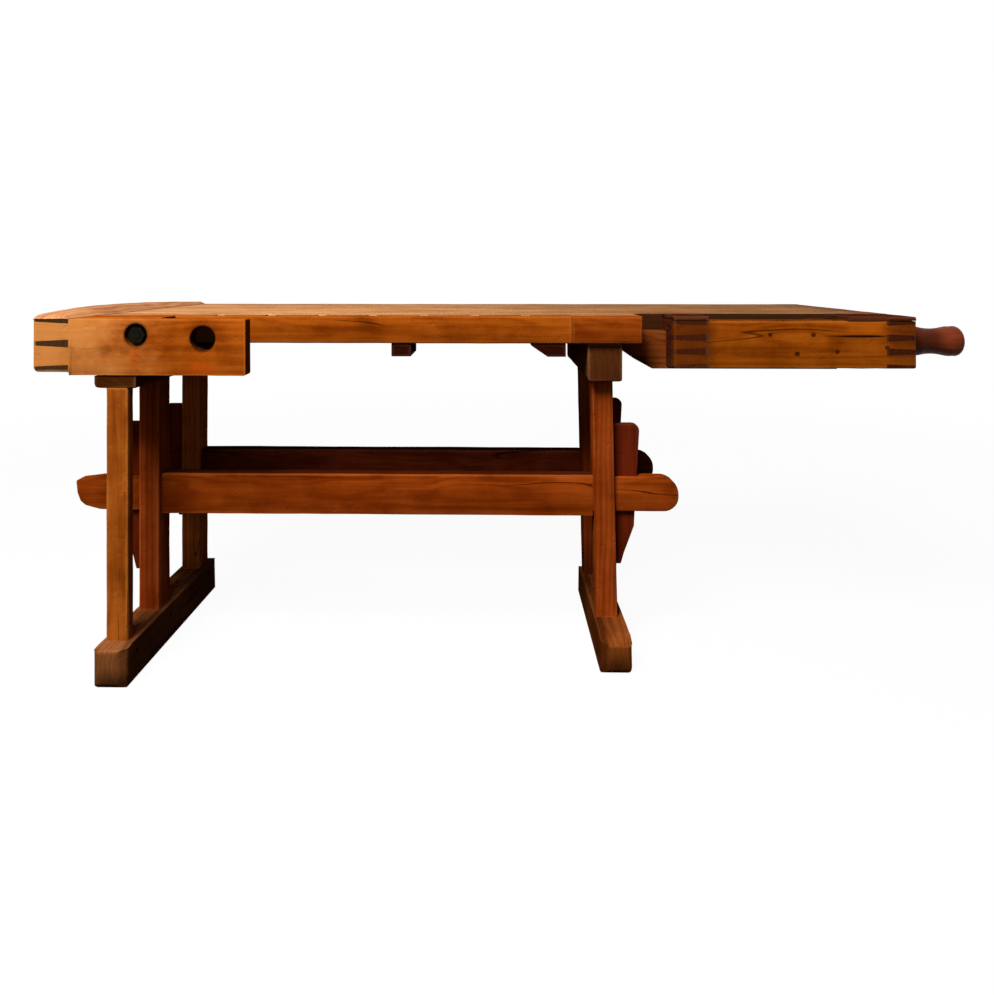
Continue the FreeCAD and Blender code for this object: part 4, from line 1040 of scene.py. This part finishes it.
@dataclass
class Trestles(Assembly):
    """The two trestles: sled feet, chamfered posts, bearers and their pegs."""

    nose_run: float = 42 * MM
    nose_drops: Flat = (5 * MM, 15 * MM)
    toe: float = 15 * MM
    corner: float = 11 * MM
    cheek_run: float = 21 * MM
    cheek_depth: float = 13 * MM
    outer_sole: float = 18 * MM
    inner_sole: float = 4 * MM
    lean: float = 12 * MM
    chamfer: float = 4.5 * MM
    tenon: float = 52 * MM
    bury: float = 5 * MM
    bearer_nose: float = 9 * MM
    tones: dict[str, Colour] = field(default_factory=lambda: {
        "left_foot": srgb(134, 80, 42), "right_foot": srgb(130, 68, 24),
        "left_front_post": srgb(160, 83, 21), "left_middle_post": srgb(158, 68, 20),
        "left_back_post": srgb(172, 86, 26), "right_front_post": srgb(146, 63, 15),
        "right_back_post": srgb(112, 46, 14), "left_bearer": srgb(84, 41, 14),
        "right_bearer": srgb(97, 50, 22),
    })

    def build(self) -> None:
        """Builds every part of the trestles."""
        for name in ("left_foot", "right_foot"):
            self.foot(name)
        for name in ("left_front_post", "left_middle_post", "left_back_post", "right_front_post",
                     "right_back_post"):
            self.post(name)
        for name in ("left_bearer", "right_bearer"):
            self.bearer(name)
        self.dress(PEG, Grain.X, "post_pegs")
        self.dress(PEG, Grain.Z, "locating_pins")

    def foot(self, name: str) -> None:
        """Builds a sled foot with sloping ends and corners worn round.

        Args:
            name: the foot's node.
        """
        block = Block.of(name)
        (x0, y0, z0), (x1, y1, z1) = block.low, block.high
        left = name == "left_foot"
        outer, inner, sign = (x0, x1, 1) if left else (x1, x0, -1)
        brow = z1 - self.nose_drops[0 if left else 1]
        piece = Joiner.plate(name + "_timber", [
            (y0, z0, self.toe), (y1, z0, 8 * MM), (y1, brow, 12 * MM),
            (y1 - self.nose_run, z1, 0.03), (y0 + self.nose_run, z1, 0.03), (y0, brow, 9 * MM),
        ], Grain.X, (x0, x1))
        Joiner.mould(piece, [
            (outer, y0, self.corner), (inner - sign * self.cheek_run, y0, 6 * MM),
            (inner, y0 + self.cheek_depth, self.corner), (inner, y1, 0.02),
            (outer, y1, self.corner),
        ], Grain.Z)
        Joiner.mould(piece, [
            (outer, z0, self.outer_sole), (inner, z0, self.inner_sole), (inner, z1, 4 * MM),
            (outer, z1, 4 * MM),
        ], Grain.Y)
        Joiner.age(piece, Grain.Y, 0.04, 2.2 * MM, 0.05, 2 * MM, above=6 * MM)
        middle = block.centre
        # Painted shade on the lower part of the inner side face; the front face is darker towards
        # the bottom.
        stains = (
            Stain((inner, middle.y, 0.02), (0.022, 0.31, 0.1), srgb(44, 12, 5), 0.6, 0.25, 6),
            Stain((middle.x, y0, 0.0), (0.07, 0.03, 0.055), srgb(50, 24, 6), 0.85, 0.85),
        )
        finish = replace(FOOT, tone=self.tones[name])
        self.hand_over(piece, finish, Grain.Y, name, stains=stains, angle=40)

    def post(self, name: str) -> None:
        """Builds a post with chamfered corners between its foot and its bearer.

        Args:
            name: the post's node.
        """
        short = self.tenon / 2 if name == "left_front_post" else self.tenon
        shaft = Block.of(name).trimmed((0, 0, self.tenon - self.bury), (0, 0, self.bury - short))
        (x0, y0, z0), (x1, y1, z1) = shaft.low, shaft.high
        skew = self.lean / 2 if name.startswith("right") else 0.0
        outline = [(x0 + skew, z0), (x1 + skew, z0), (x1 - skew, z1), (x0 - skew, z1)]
        piece = Joiner.plate(name + "_timber", outline, Grain.Y, (y0, y1))
        Joiner.ease(piece, self.chamfer, 2, lambda middle, run: abs(run.z) > 0.9)
        Joiner.age(piece, Grain.Z, 0.035, 1.8 * MM, 0.06)
        finish = replace(FRAME, tone=self.tones[name])
        self.hand_over(piece, finish, Grain.Z, name, angle=25)

    def bearer(self, name: str) -> None:
        """Builds a bearer with a cut-back nose; the left one steps down in front.

        Args:
            name: the bearer's node.
        """
        block = Block.of(name)
        (x0, y0, z0), (x1, y1, z1) = block.low, block.high
        corners = [(y0, z0 + 3 * MM, 3 * MM), (y0 + self.bearer_nose, z0, 6 * MM),
                   (y1, z0, 3 * MM), (y1, z1)]
        if name == "left_bearer":
            step, face = Block.of("shoulder_arm").low[2], Block.of("front_apron").low[1]
            corners += [(face, z1), (face, step), (y0, step)]
        else:
            corners.append((y0, z1))
        piece = Joiner.plate(name + "_timber", corners, Grain.X, (x0, x1))
        Joiner.mould(piece, [(x0, z0, 13 * MM), (x1, z0, 8 * MM), (x1, z1), (x0, z1)], Grain.Y)
        Joiner.age(piece, Grain.Y, 0.05, 1.6 * MM, 0.05, 2.5 * MM, below=z1 - 1 * MM)
        self.hand_over(piece, replace(FRAME, tone=self.tones[name]), Grain.Y, name)


@dataclass
class Stretchers(Assembly):
    """The two long rails, their tusks, and the wedges that draw them tight."""

    tusk_drop: float = 11 * MM
    tusk_dip: float = 4 * MM
    tusk_sag: float = 5 * MM
    tusk_inset: float = 2 * MM
    bury: float = 20 * MM
    lean: float = 12 / 562
    round_nose: float = 36 * MM
    slope: float = 13 / 231
    widest: float = 62 * MM
    nominal_top: float = 0.53
    # The back rail's darker tone is partly a darker timber and partly painted shade under the
    # bench.
    back_tone: Colour = srgb(89, 33, 9)

    def build(self) -> None:
        """Builds both stretchers and all four wedges."""
        for row in ("front", "back"):
            self.stretcher(row)
            for side, sign in (("left", -1), ("right", 1)):
                self.wedge(f"{row}_{side}_wedge", sign)

    def wedge_width(self, height: float) -> float:
        """Returns how wide a wedge is at a height above the floor."""
        return self.widest - self.slope * (self.nominal_top - height)

    def stretcher(self, row: str) -> None:
        """Builds a rail with its two tusks, each with a slot for its wedge.

        Args:
            row: front or back.
        """
        name = f"{row}_stretcher"
        block = Block.of(name)
        left_face = Block.of("left_middle_post").high[0]
        right_face = Block.of("right_front_post").low[0]
        rail = Joiner.cube(name + "_timber", Block(
            (left_face, block.low[1], block.low[2]), (right_face, block.high[1], block.high[2])))
        Joiner.age(rail, Grain.X, 0.05, 2 * MM, 0.09, 3 * MM)
        low, top = block.low[2] + self.tusk_drop, block.high[2] - self.tusk_dip
        left, right = block.low[0], block.high[0]
        brow, sole = top - self.tusk_sag, low - self.tusk_sag + 1 * MM
        root, right_root = left_face + self.bury, right_face - self.bury
        Joiner.join(
            rail,
            self.tusk(name, block, f"{row}_left_wedge", [
                (left, brow - 9 * MM, 5 * MM), (left + 70 * MM, brow, 0.02), (root, brow),
                (root, sole), (left + 60 * MM, sole + 2 * MM, 0.03),
                (left + 24 * MM, sole + 11 * MM, 0.02), (left + 11 * MM, sole + 22 * MM, 0.012),
                (left + 3 * MM, sole + 42 * MM, 0.012),
            ]),
            self.tusk(name, block, f"{row}_right_wedge", [
                (right_root, low), (right, low, self.round_nose),
                (right, top, self.round_nose + 5 * MM), (right_root, top),
            ]),
        )
        # The back rail takes the darker tone, partly painted shade.
        finish = STRETCHER if row == "front" else replace(STRETCHER, tone=self.back_tone)
        middle = block.centre
        shadow = Stain((middle.x, middle.y + 3 * MM, block.high[2]),
                       (1.2, (block.size.y - 3 * MM) / 2, 4.5 * MM), srgb(40, 12, 6), 0.85, 0.25, 8)
        self.hand_over(rail, finish, Grain.X, name, stains=(shadow,))

    def tusk(self, name: str, block: Block, wedge: str, corners: Outline) -> Piece:
        """Builds one tusk with a rounded tip.

        Args:
            name: the stretcher's name.
            block: the stretcher's box.
            wedge: the wedge that passes through it.
            corners: its outline's corners.

        Returns:
            The tusk.
        """
        piece = Joiner.plate(
            f"{name}_tusk", corners, Grain.Y, block.span(Grain.Y, -self.tusk_inset), 7)
        Joiner.age(piece, Grain.X, 0.03, 1.6 * MM, 0.05, 3.5 * MM, 3)
        key = Block.of(wedge)
        sign, inner = (1, key.low[0]) if wedge.endswith("right_wedge") else (-1, key.high[0])
        low, high = block.span(Grain.Z, 2 * OVER)
        slot = [(inner - sign * 5 * MM, low),
                (inner + sign * (self.wedge_width(low) + 0.5 * MM), low),
                (inner + sign * (self.wedge_width(high) + 0.5 * MM), high),
                (inner - sign * 5 * MM, high)]
        Joiner.carve(piece, Joiner.plate("slot", slot, Grain.Y, key.span(Grain.Y, 0.3 * MM)))
        return piece

    def wedge(self, name: str, sign: int) -> None:
        """Builds a tapered key with a rounded head and a narrow, cut-back foot.

        Args:
            name: the wedge's node.
            sign: 1 at the rail's right end and -1 at its left end.
        """
        block, rail = Block.of(name), Block.of("front_stretcher")
        inner = block.low[0] if sign > 0 else block.high[0]
        bottom, top = block.span(Grain.Z)
        seat = rail.low[2]
        below = seat - bottom
        knee, waist = seat - below * 0.23, seat - below * 0.77
        tilt = self.lean if sign > 0 else 0.0
        piece = Joiner.plate(name + "_timber", [
            (inner + sign * x - (0 if x else tilt * (z - rail.centre.z)), z, radius)
            for x, z, radius in (
                (0, bottom, 2 * MM), (17 * MM, bottom, 4 * MM), (25 * MM, waist, 14 * MM),
                (self.wedge_width(knee), knee, 22 * MM), (self.wedge_width(top), top, 18 * MM),
                (0, top, 3 * MM),
            )
        ], Grain.Y, block.span(Grain.Y))
        Joiner.age(piece, Grain.Z, 0.03, 1 * MM, 0.04, 2 * MM)
        self.hand_over(piece, WEDGE, Grain.Z, name, body=name)


@dataclass
class Top(Assembly):
    """The planked top: boards, apron, fixed jaw, dog strip, right end cap and battens."""

    board_ease: float = 1.6 * MM
    apron_ease: float = 4 * MM
    cap_ease: float = 4 * MM

    def build(self) -> None:
        """Builds the whole top, apart from the left end cap."""
        for name in ("inner_board", "middle_board", "wide_board", "back_board"):
            self.board(name)
        self.apron()
        self.fixed_jaw()
        self.right_cap()
        # The dog blocks' fade darkens them towards the right: a painted light falloff along the
        # top.
        self.dress(DOGS, Grain.X, "dog_blocks", fade=(-0.7, 0.3, 0.7))
        # The battens take a darker tone: painted shade under the top.
        self.dress(replace(DARK, tone=srgb(62, 20, 10)), Grain.Y, "left_batten", "right_batten")
        self.dress(BOLT, Grain.X, "cap_bolts", "cap_bolt_nuts")

    def board(self, name: str) -> None:
        """Builds one plank, a little worn, with eased edges.

        Args:
            name: the plank's node.
        """
        block = Block.of(name)
        piece = Joiner.cube(name + "_plank", block)
        Joiner.rings(piece, Grain.Y, 0.03)
        Joiner.age(piece, Grain.X, 0.07, 1.2 * MM, 0.16, self.board_ease,
                   above=block.low[2] + 1 * MM)
        shadow = Stain((0.52, block.low[1], 0.755), (0.34, 0.004, 0.06), srgb(54, 20, 6), 0.95,
                       0.12, 6)
        # The fade darkens the boards towards the right: a painted light falloff along the top.
        self.hand_over(piece, TOP, Grain.X, name, fade=(-0.8, 0.8, 0.6),
                       stains=(shadow,) if name == "middle_board" else ())

    def apron(self) -> None:
        """Builds the front apron, its upper edge rubbed round and a painted shade on its face
        behind the arm's bore.
        """
        block = Block.of("front_apron")
        piece = Joiner.cube("front_apron_board", block)
        Joiner.age(piece, Grain.X, 0.035, 2 * MM, 0.05, self.apron_ease, 3,
                   lambda middle, run: abs(run.x) > 0.9 and middle.y < block.centre.y)
        # Painted shade: the apron's face behind the arm's bore is darkened so that the bore looks
        # black.
        painted_bore_shade = Stain((-0.708, block.low[1], 0.735), (0.085, 0.03, 0.045), srgb(10, 4, 2), 0.98,
                    0.2, 6)
        self.hand_over(piece, APRON, Grain.X, "front_apron", stains=(painted_bore_shade,))

    def fixed_jaw(self) -> None:
        """Builds the redder jaw piece at the apron's right end."""
        block = Block.of("fixed_jaw")
        piece = Joiner.cube("fixed_jaw_timber", block)
        Joiner.age(piece, Grain.X, 0.03, 1.8 * MM, 0.045, self.apron_ease, 3,
                   lambda middle, run: middle.y < block.centre.y and abs(run.y) < 0.5
                   and middle.x > block.low[0] + 5 * MM)
        self.hand_over(piece, JAW, Grain.X, "fixed_jaw")

    def right_cap(self) -> None:
        """Builds the right end cap, its bolt seats and its rubbed edges."""
        block = Block.of("right_end_cap")
        piece = Joiner.cube("right_end_cap_timber", block)
        Joiner.age(piece, Grain.Y, 0.04, 1.6 * MM, 0.06, self.cap_ease, 3,
                   lambda middle, run: middle.x > block.centre.x)
        BoltSeats().bore(piece, block.high[0])
        self.hand_over(piece, CAP, Grain.Y, "right_end_cap", fade=(0.7, 0.8, 0.5))


@dataclass
class ShoulderVise(Assembly):
    """The fixed arm, dovetailed into the left end cap, with its empty screw hole."""

    bore_set: float = 373.5 * MM
    bore_height: float = 0.747
    bore_radius: float = 28 * MM
    bolt_set: float = 226.5 * MM
    bolt_height: float = 0.7545
    bolt_radius: float = 8.3 * MM
    sink_radius: float = 25 * MM
    sink_depth: float = 19 * MM
    arm_ease: float = 3.5 * MM
    inner_slope: float = 0.45
    tail_height: float = 90 * MM
    apex_set: float = 219.5 * MM

    def build(self) -> None:
        """Builds the arm and the cap, and dresses what is bolted through them."""
        self.cap(self.arm())
        self.dress(ARM, Grain.X, "shoulder_filler")
        self.dress(BOLT, Grain.Y, "tie_bolt", "tie_bolt_nut", "tie_bolt_anchor")
        self.dress(WASHER, Grain.Y, "tie_bolt_washer")

    def arm(self) -> list[Piece]:
        """Builds the worn arm.

        Returns:
            The end cap's pins, cut from the same worn face.
        """
        block, cap = Block.of("shoulder_arm"), Block.of("left_end_cap")
        (x0, y0, z0), (x1, y1, z1) = block.low, block.high
        step, foot = cap.high[0], cap.low[2]
        piece = Joiner.plate("shoulder_arm_timber", [
            (x0, foot, 12 * MM), (step, foot), (step, z0, 2 * MM), (x1, z0, 6 * MM),
            (x1, z1, 4 * MM), (x0, z1),
        ], Grain.Y, (y0, y1))
        Joiner.age(piece, Grain.X, 0.03, 2.4 * MM, 0.05, self.arm_ease, 3)
        middle = z1 - 54.5 * MM
        pins = Dovetails(step, x0, (
            (z1 - 11 * MM, z1 + 5 * MM, z1 - 7 * MM, z1 + 5 * MM),
            (middle - 8.5 * MM, middle + 8.5 * MM, middle - 4.5 * MM, middle + 4.5 * MM),
            (foot - 5 * MM, foot + 17 * MM, foot - 5 * MM, foot + 13 * MM),
        )).cut(piece)
        bore = (x0 + self.bore_set, block.centre.y, self.bore_height)
        bolt = (x0 + self.bolt_set, y0, self.bolt_height)
        Joiner.carve(
            piece,
            Joiner.rod(bore, self.bore_radius, 0.1, Grain.Y),
            Joiner.rod(bolt, self.sink_radius, 2 * self.sink_depth, Grain.Y),
            Joiner.rod((bolt[0], block.centre.y, bolt[2]), self.bolt_radius, 0.1, Grain.Y),
        )
        Joiner.ease(piece, 3 * MM, 2, lambda place, run: place.y < y0 + 4 * MM and abs(
            math.hypot(place.x - bore[0], place.z - bore[2]) - self.bore_radius) < 1 * MM)
        self.hand_over(piece, ARM, Grain.X, "shoulder_arm", stains=(
            # Painted light: the arm's face is paler towards its left end, part of a light falloff
            # along the bench.
            Stain((x0 - 0.02, y0, 0.73), (0.39, 0.06, 0.3), srgb(206, 136, 70), 0.85, 0.9),
            Stain((x0 + 0.222, y0, 0.704), (0.02, 0.03, 0.04), srgb(196, 74, 8), 0.45, 0.95),
            Stain((x0 + 0.369, y0, 0.683), (0.05, 0.03, 0.02), srgb(188, 62, 6), 0.45, 0.95),
            # Painted shade inside the screw bore, so that it looks black.
            Stain(bore, (0.036, 0.08, 0.036), srgb(12, 5, 4), 0.98, 0.25),
            # Painted shade in the bolt's counterbore.
            Stain(bolt, (0.033, 0.08, 0.033), srgb(28, 13, 7), 0.9, 0.3),
        ))
        return pins

    def cap(self, pins: list[Piece]) -> None:
        """Builds the crowned left end cap round its pins, which show on the arm's face.

        Args:
            pins: its pins, which are joined to it.
        """
        block, arm, apron = (
            Block.of(node) for node in ("left_end_cap", "shoulder_arm", "front_apron"))
        (x0, y0, foot), (x1, y1, _) = block.low, block.high
        level = arm.high[2]
        back, knee = arm.high[1], apron.low[1] + 150 * MM
        tail, apex = level - self.tail_height, back + self.apex_set
        crown = [(y0, level), (y0 + 13.7 * MM, level + 6.8 * MM), (back, level + 10.2 * MM)]
        front = [crown[2], ((back + apex) / 2, level + 15.9 * MM), (apex, level + 18.3 * MM)]
        rear = [front[2], ((apex + y1) / 2, level + 15.5 * MM), (y1, level + 7 * MM)]
        outline = (
            Joiner.bow(*crown, 5) + Joiner.bow(*front, 8) + Joiner.bow(*rear, 12) + [rear[2]]
            + [(y1, tail), (knee + 60 * MM, tail), (knee, foot), (back, foot),
               (back, level - 3 * MM), (y0, level - 3 * MM)]
        )
        piece = Joiner.plate("left_end_cap_timber", outline, Grain.X, (x0, x1))
        Joiner.ease(piece, 7 * MM, 4, lambda middle, run: middle.x < x0 + 1 * MM
                    and middle.z > level - 1 * MM and abs(run.x) < 0.5)
        Joiner.plane(piece, (x1, back, level + 0.8 * MM), (self.inner_slope, 0, 1))
        Joiner.ease(piece, 5 * MM, 3, lambda middle, run: middle.y > y1 - 1 * MM
                    and middle.z < level)
        Joiner.age(piece, Grain.Y, 0.04, 2 * MM, 0.06)
        BoltSeats().bore(piece, x0)
        Joiner.join(piece, *pins)
        self.hand_over(piece, CAP, Grain.Y, "left_end_cap",
                       block=block.trimmed(high=(0.03, 0, 0)))


@dataclass
class TailVise(Assembly):
    """The sliding tail vise, its fixed rail and nut, and its wooden screw."""

    body: str = "tail_vise"
    axis: Flat = (-0.188, 0.727)
    journal_radius: float = 20.2 * MM
    key_play: float = 0.3 * MM
    pin_root: float = 8.5 * MM
    pin_tip: float = 5.5 * MM
    lip: float = 10 * MM
    rail_roof: float = 0.7503
    knots: tuple[Flat, ...] = (
        (-0.331, 0.748), (-0.2335, 0.748), (-0.179, 0.709), (-0.27, 0.7045), (-0.0665, 0.7186))

    def build(self) -> None:
        """Builds and dresses the vise."""
        jaw_pins, end_pins = self.front_board()
        self.jaw_block(jaw_pins)
        self.end_block(end_pins)
        self.dress(DARK, Grain.Z, "vise_nut_block")
        self.dress(DARK, Grain.X, "vise_dog_blocks", "vise_liner")
        x, y, z = Block.of("vise_guide_rail").low
        # Painted shade on the rail's bevelled nose, which faces down under the top.
        painted_nose_shade = Stain((x + 0.03, y, z + 0.01), (0.07, 0.06, 0.04), srgb(40, 14, 8), 0.85, 0.7)
        self.dress(replace(DARK, tone=shade(DARK.tone, 1.4)), Grain.X, "vise_guide_rail",
                   stains=(painted_nose_shade,))
        self.dress(BLOCKS, Grain.X, "vise_cover_plate")
        self.dress(PEG, Grain.Z, "garter_key")
        self.dress(SCREW, Grain.X, "tail_screw")
        self.dress(SCREW, Grain.X, "screw_handle", fade=(0.985, 1.02, 2.3))

    def pins(self, root: float, tip: float, low: float, high: float) -> Dovetails:
        """Returns the four pins between two heights: two whole, and a half at each edge.

        Args:
            root: where the pins start along X.
            tip: where they end along X.
            low: the board's lower edge.
            high: the board's upper edge.

        Returns:
            The pins.
        """
        middle, over = (low + high) / 2, 5 * MM
        whole = [
            (centre - self.pin_root, centre + self.pin_root,
             centre - self.pin_tip, centre + self.pin_tip)
            for centre in (middle - 16 * MM, middle + 16 * MM)
        ]
        return Dovetails(root, tip, (
            (low - over, low + 11 * MM, low - over, low + 8 * MM), *whole,
            (high - 11 * MM, high + over, high - 8 * MM, high + over),
        ))

    def front_board(self) -> tuple[list[Piece], list[Piece]]:
        """Builds the battered front board, split along its grain near the right end.

        Returns:
            The jaw block's pins and the end block's pins.
        """
        block = Block.of("vise_front_board")
        jaw, end = Block.of("vise_jaw_block"), Block.of("vise_end_block")
        (x0, y0, z0), (x1, y1, z1) = block.low, block.high
        outline = [(x0, z0, 4 * MM), (x1, z0, 6 * MM), (x1, z1), (x0, z1)]
        piece = Joiner.plate("vise_front_timber", outline, Grain.Y, (y0, y1))
        Joiner.age(piece, Grain.X, 0.03, 2.4 * MM, 0.045, 3.5 * MM, 3,
                   lambda middle, run: middle.y < y0 + 1 * MM)
        jaw_pins = self.pins(jaw.high[0], x0, z0, z1).cut(piece)
        end_pins = self.pins(end.low[0], x1, z0, z1).cut(piece)
        split = [
            (x1 - 0.205, z1 - 33 * MM), (x1 - 0.14, z1 - 35.5 * MM), (x1 - 0.09, z1 - 34 * MM),
            (x1 - 0.07, z1 - 36 * MM), (x1 - 0.115, z1 - 37.5 * MM), (x1 - 0.16, z1 - 36.5 * MM),
        ]
        Joiner.carve(piece, Joiner.plate("split", split, Grain.Y, (y0 - OVER, y0 + 6 * MM)))
        self.hand_over(piece, VISE, Grain.X, "vise_front_board", stains=(
            Stain((x1 - 0.114, y0, 0.766), (0.07, 0.03, 0.02), srgb(196, 96, 20), 0.6, 0.9),
            Stain((x1 - 0.13, y0, 0.745), (0.09, 0.03, 0.0045), srgb(44, 14, 4), 0.9, 0.6),
            Stain((x0 + 0.03, y0, 0.725), (0.08, 0.03, 0.08), srgb(80, 34, 8), 0.75, 0.5, 4),
            Stain((x1 - 0.02, y0, 0.735), (0.065, 0.03, 0.08), srgb(84, 37, 12), 0.6, 0.6, 4),
            *(Stain((x1 + run, y0, height), (0.0075, 0.03, 0.007), srgb(50, 16, 4), 0.85, 0.5)
              for run, height in self.knots),
        ))
        return jaw_pins, end_pins

    def jaw_block(self, pins: list[Piece]) -> None:
        """Builds the jaw round its pins, channelled underneath for the rail.

        Args:
            pins: its pins, which are joined to it.
        """
        block, board = Block.of("vise_jaw_block"), Block.of("vise_front_board")
        (x0, y0, z0), (x1, y1, z1) = block.low, block.high
        way, roof = Block.of("vise_guide_rail").low[1] - 1 * MM, self.rail_roof
        piece = Joiner.plate("vise_jaw_timber", [
            (y0, z1 - self.lip), (y0, z1, 4 * MM), (y1, z1), (y1, roof), (way, roof), (way, z0),
            (board.high[1], z0), (board.high[1], z1 - self.lip),
        ], Grain.X, (x0, x1))
        Joiner.ease(piece, 3 * MM, 3, lambda middle, run: middle.x < x0 + 1 * MM
                    and middle.z > z1 - 2 * MM)
        Joiner.age(piece, Grain.Y, 0.03, 1.6 * MM, 0.04)
        Joiner.join(piece, *pins)
        self.hand_over(piece, BLOCKS, Grain.Y, "vise_jaw_block")

    def end_block(self, pins: list[Piece]) -> None:
        """Builds the end block round its pins, bored for the screw and its key.

        Args:
            pins: its pins, which are joined to it.
        """
        block, board, key = (
            Block.of(node) for node in ("vise_end_block", "vise_front_board", "garter_key"))
        (x0, y0, z0), (x1, y1, z1) = block.low, block.high
        piece = Joiner.plate("vise_end_timber", [
            (y0, z1 - self.lip), (y0, z1, 6 * MM), (y1, z1, 3 * MM), (y1, z0, 4 * MM),
            (board.high[1], z0), (board.high[1], z1 - self.lip),
        ], Grain.X, (x0, x1))
        Joiner.ease(piece, 9 * MM, 4, lambda middle, run: middle.x > x1 - 1 * MM
                    and middle.z > z1 - 8 * MM and abs(run.x) < 0.5)
        Joiner.age(piece, Grain.Y, 0.03, 1.8 * MM, 0.04)
        play = self.key_play
        Joiner.carve(
            piece,
            Joiner.rod(((x0 + x1) / 2, *self.axis), self.journal_radius, 0.2, Grain.X),
            Joiner.cube("key_way", key.trimmed((-play, -play, -2 * OVER), (play, play, 0))),
        )
        Joiner.join(piece, *pins)
        self.hand_over(piece, BLOCKS, Grain.Y, "vise_end_block")


@dataclass
class Studio:
    """The pale floor, the soft lamps and the camera."""

    eye: Point = (-0.05295, -2.0675, 0.89165)
    yaw: float = 0.0203
    sensor: float = 36
    lens: float = 780 / 995 * 36
    shift: Flat = (0.0203, -0.2269)
    target: Point = (0, 0, 0.55)
    ambient: float = 0.1
    floor_glow: float = 0.95
    floor_tone: Colour = (0.05, 0.048, 0.045)

    def build(self) -> None:
        """Builds the set and points the camera."""
        self.floor()
        self.sky()
        self.lamp("key", (-1.3, -2.7, 4.0), 1.8, 285, (1.0, 0.98, 0.95))
        self.lamp("fill", (-1.4, -4.2, 1.3), 2.0, 12, (1.0, 0.97, 0.94))
        self.camera()

    def floor(self) -> None:
        """Lays a pale floor that keeps the bench's soft shadow."""
        bpy.ops.object.select_all(action="DESELECT")
        bpy.ops.mesh.primitive_plane_add(size=60, location=(0, 0, -0.0005))
        plane = bpy.context.active_object
        plane.name = "floor"
        shader = Shader(bpy.data.materials.new("pale_floor"), "OutputMaterial")
        seen = shader.seen("Camera", "Glossy")
        place = shader.parts(shader.add("TexCoord", {}).outputs["Object"])
        far = (place[0] ** 2.0 + place[1] ** 2.0).root().step(1.8, 4.5)
        tone = shader.mix(self.floor_tone, (1.0, 1.0, 1.0), seen)
        plane.data.materials.append(shader.end("MixShader", {
            0: seen * (self.floor_glow + far * (1 - self.floor_glow)),
            1: shader.value("BsdfDiffuse", {"Color": tone}),
            2: shader.value("Emission", {"Color": (1, 1, 1, 1), "Strength": 1.0}),
        }))

    def sky(self) -> None:
        """Lights the room evenly and shows white behind the bench."""
        shader = Shader(bpy.data.worlds.new("studio"), "OutputWorld")
        seen = shader.seen("Camera", "Transmission", "Glossy")
        bpy.context.scene.world = shader.end("Background", {
            "Color": (1, 1, 1, 1), "Strength": seen * (1 - self.ambient) + self.ambient,
        })

    def lamp(self, name: str, place: Point, size: float, power: float, colour: Colour) -> None:
        """Hangs a square soft lamp that faces the bench.

        Args:
            name: the lamp's name.
            place: where it hangs.
            size: the length of its side.
            power: its power in watts.
            colour: its colour.
        """
        data = bpy.data.lights.new(name, "AREA")
        data.size = size
        data.energy = power
        data.color = colour
        lamp = bpy.data.objects.new(name, data)
        lamp.location = place
        aim = Vector(self.target) - Vector(place)
        lamp.rotation_euler = aim.to_track_quat("-Z", "Y").to_euler()
        bpy.context.collection.objects.link(lamp)

    def camera(self) -> None:
        """Sets up the camera at eye height in front of the bench."""
        data = bpy.data.cameras.new("camera")
        data.sensor_fit = "HORIZONTAL"
        data.sensor_width = self.sensor
        data.lens = self.lens
        data.shift_x, data.shift_y = self.shift
        camera = bpy.data.objects.new("camera", data)
        camera.location = self.eye
        camera.rotation_euler = (math.pi / 2, 0, self.yaw)
        bpy.context.collection.objects.link(camera)
        scene = bpy.context.scene
        scene.camera = camera
        scene.view_settings.view_transform = "Standard"


def corners(pair: tuple) -> list[list[float]]:
    """Returns a pair of corners as plain lists."""
    return [list(corner) for corner in pair]


def main() -> None:
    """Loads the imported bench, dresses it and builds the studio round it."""
    logging.basicConfig(level=logging.INFO, format="%(message)s")
    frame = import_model()
    nodes = frame["nodes"]
    for assembly in (Trestles, Stretchers, Top, ShoulderVise, TailVise):
        assembly(nodes).build()
    Studio().build()


if __name__ == "__main__":
    main()
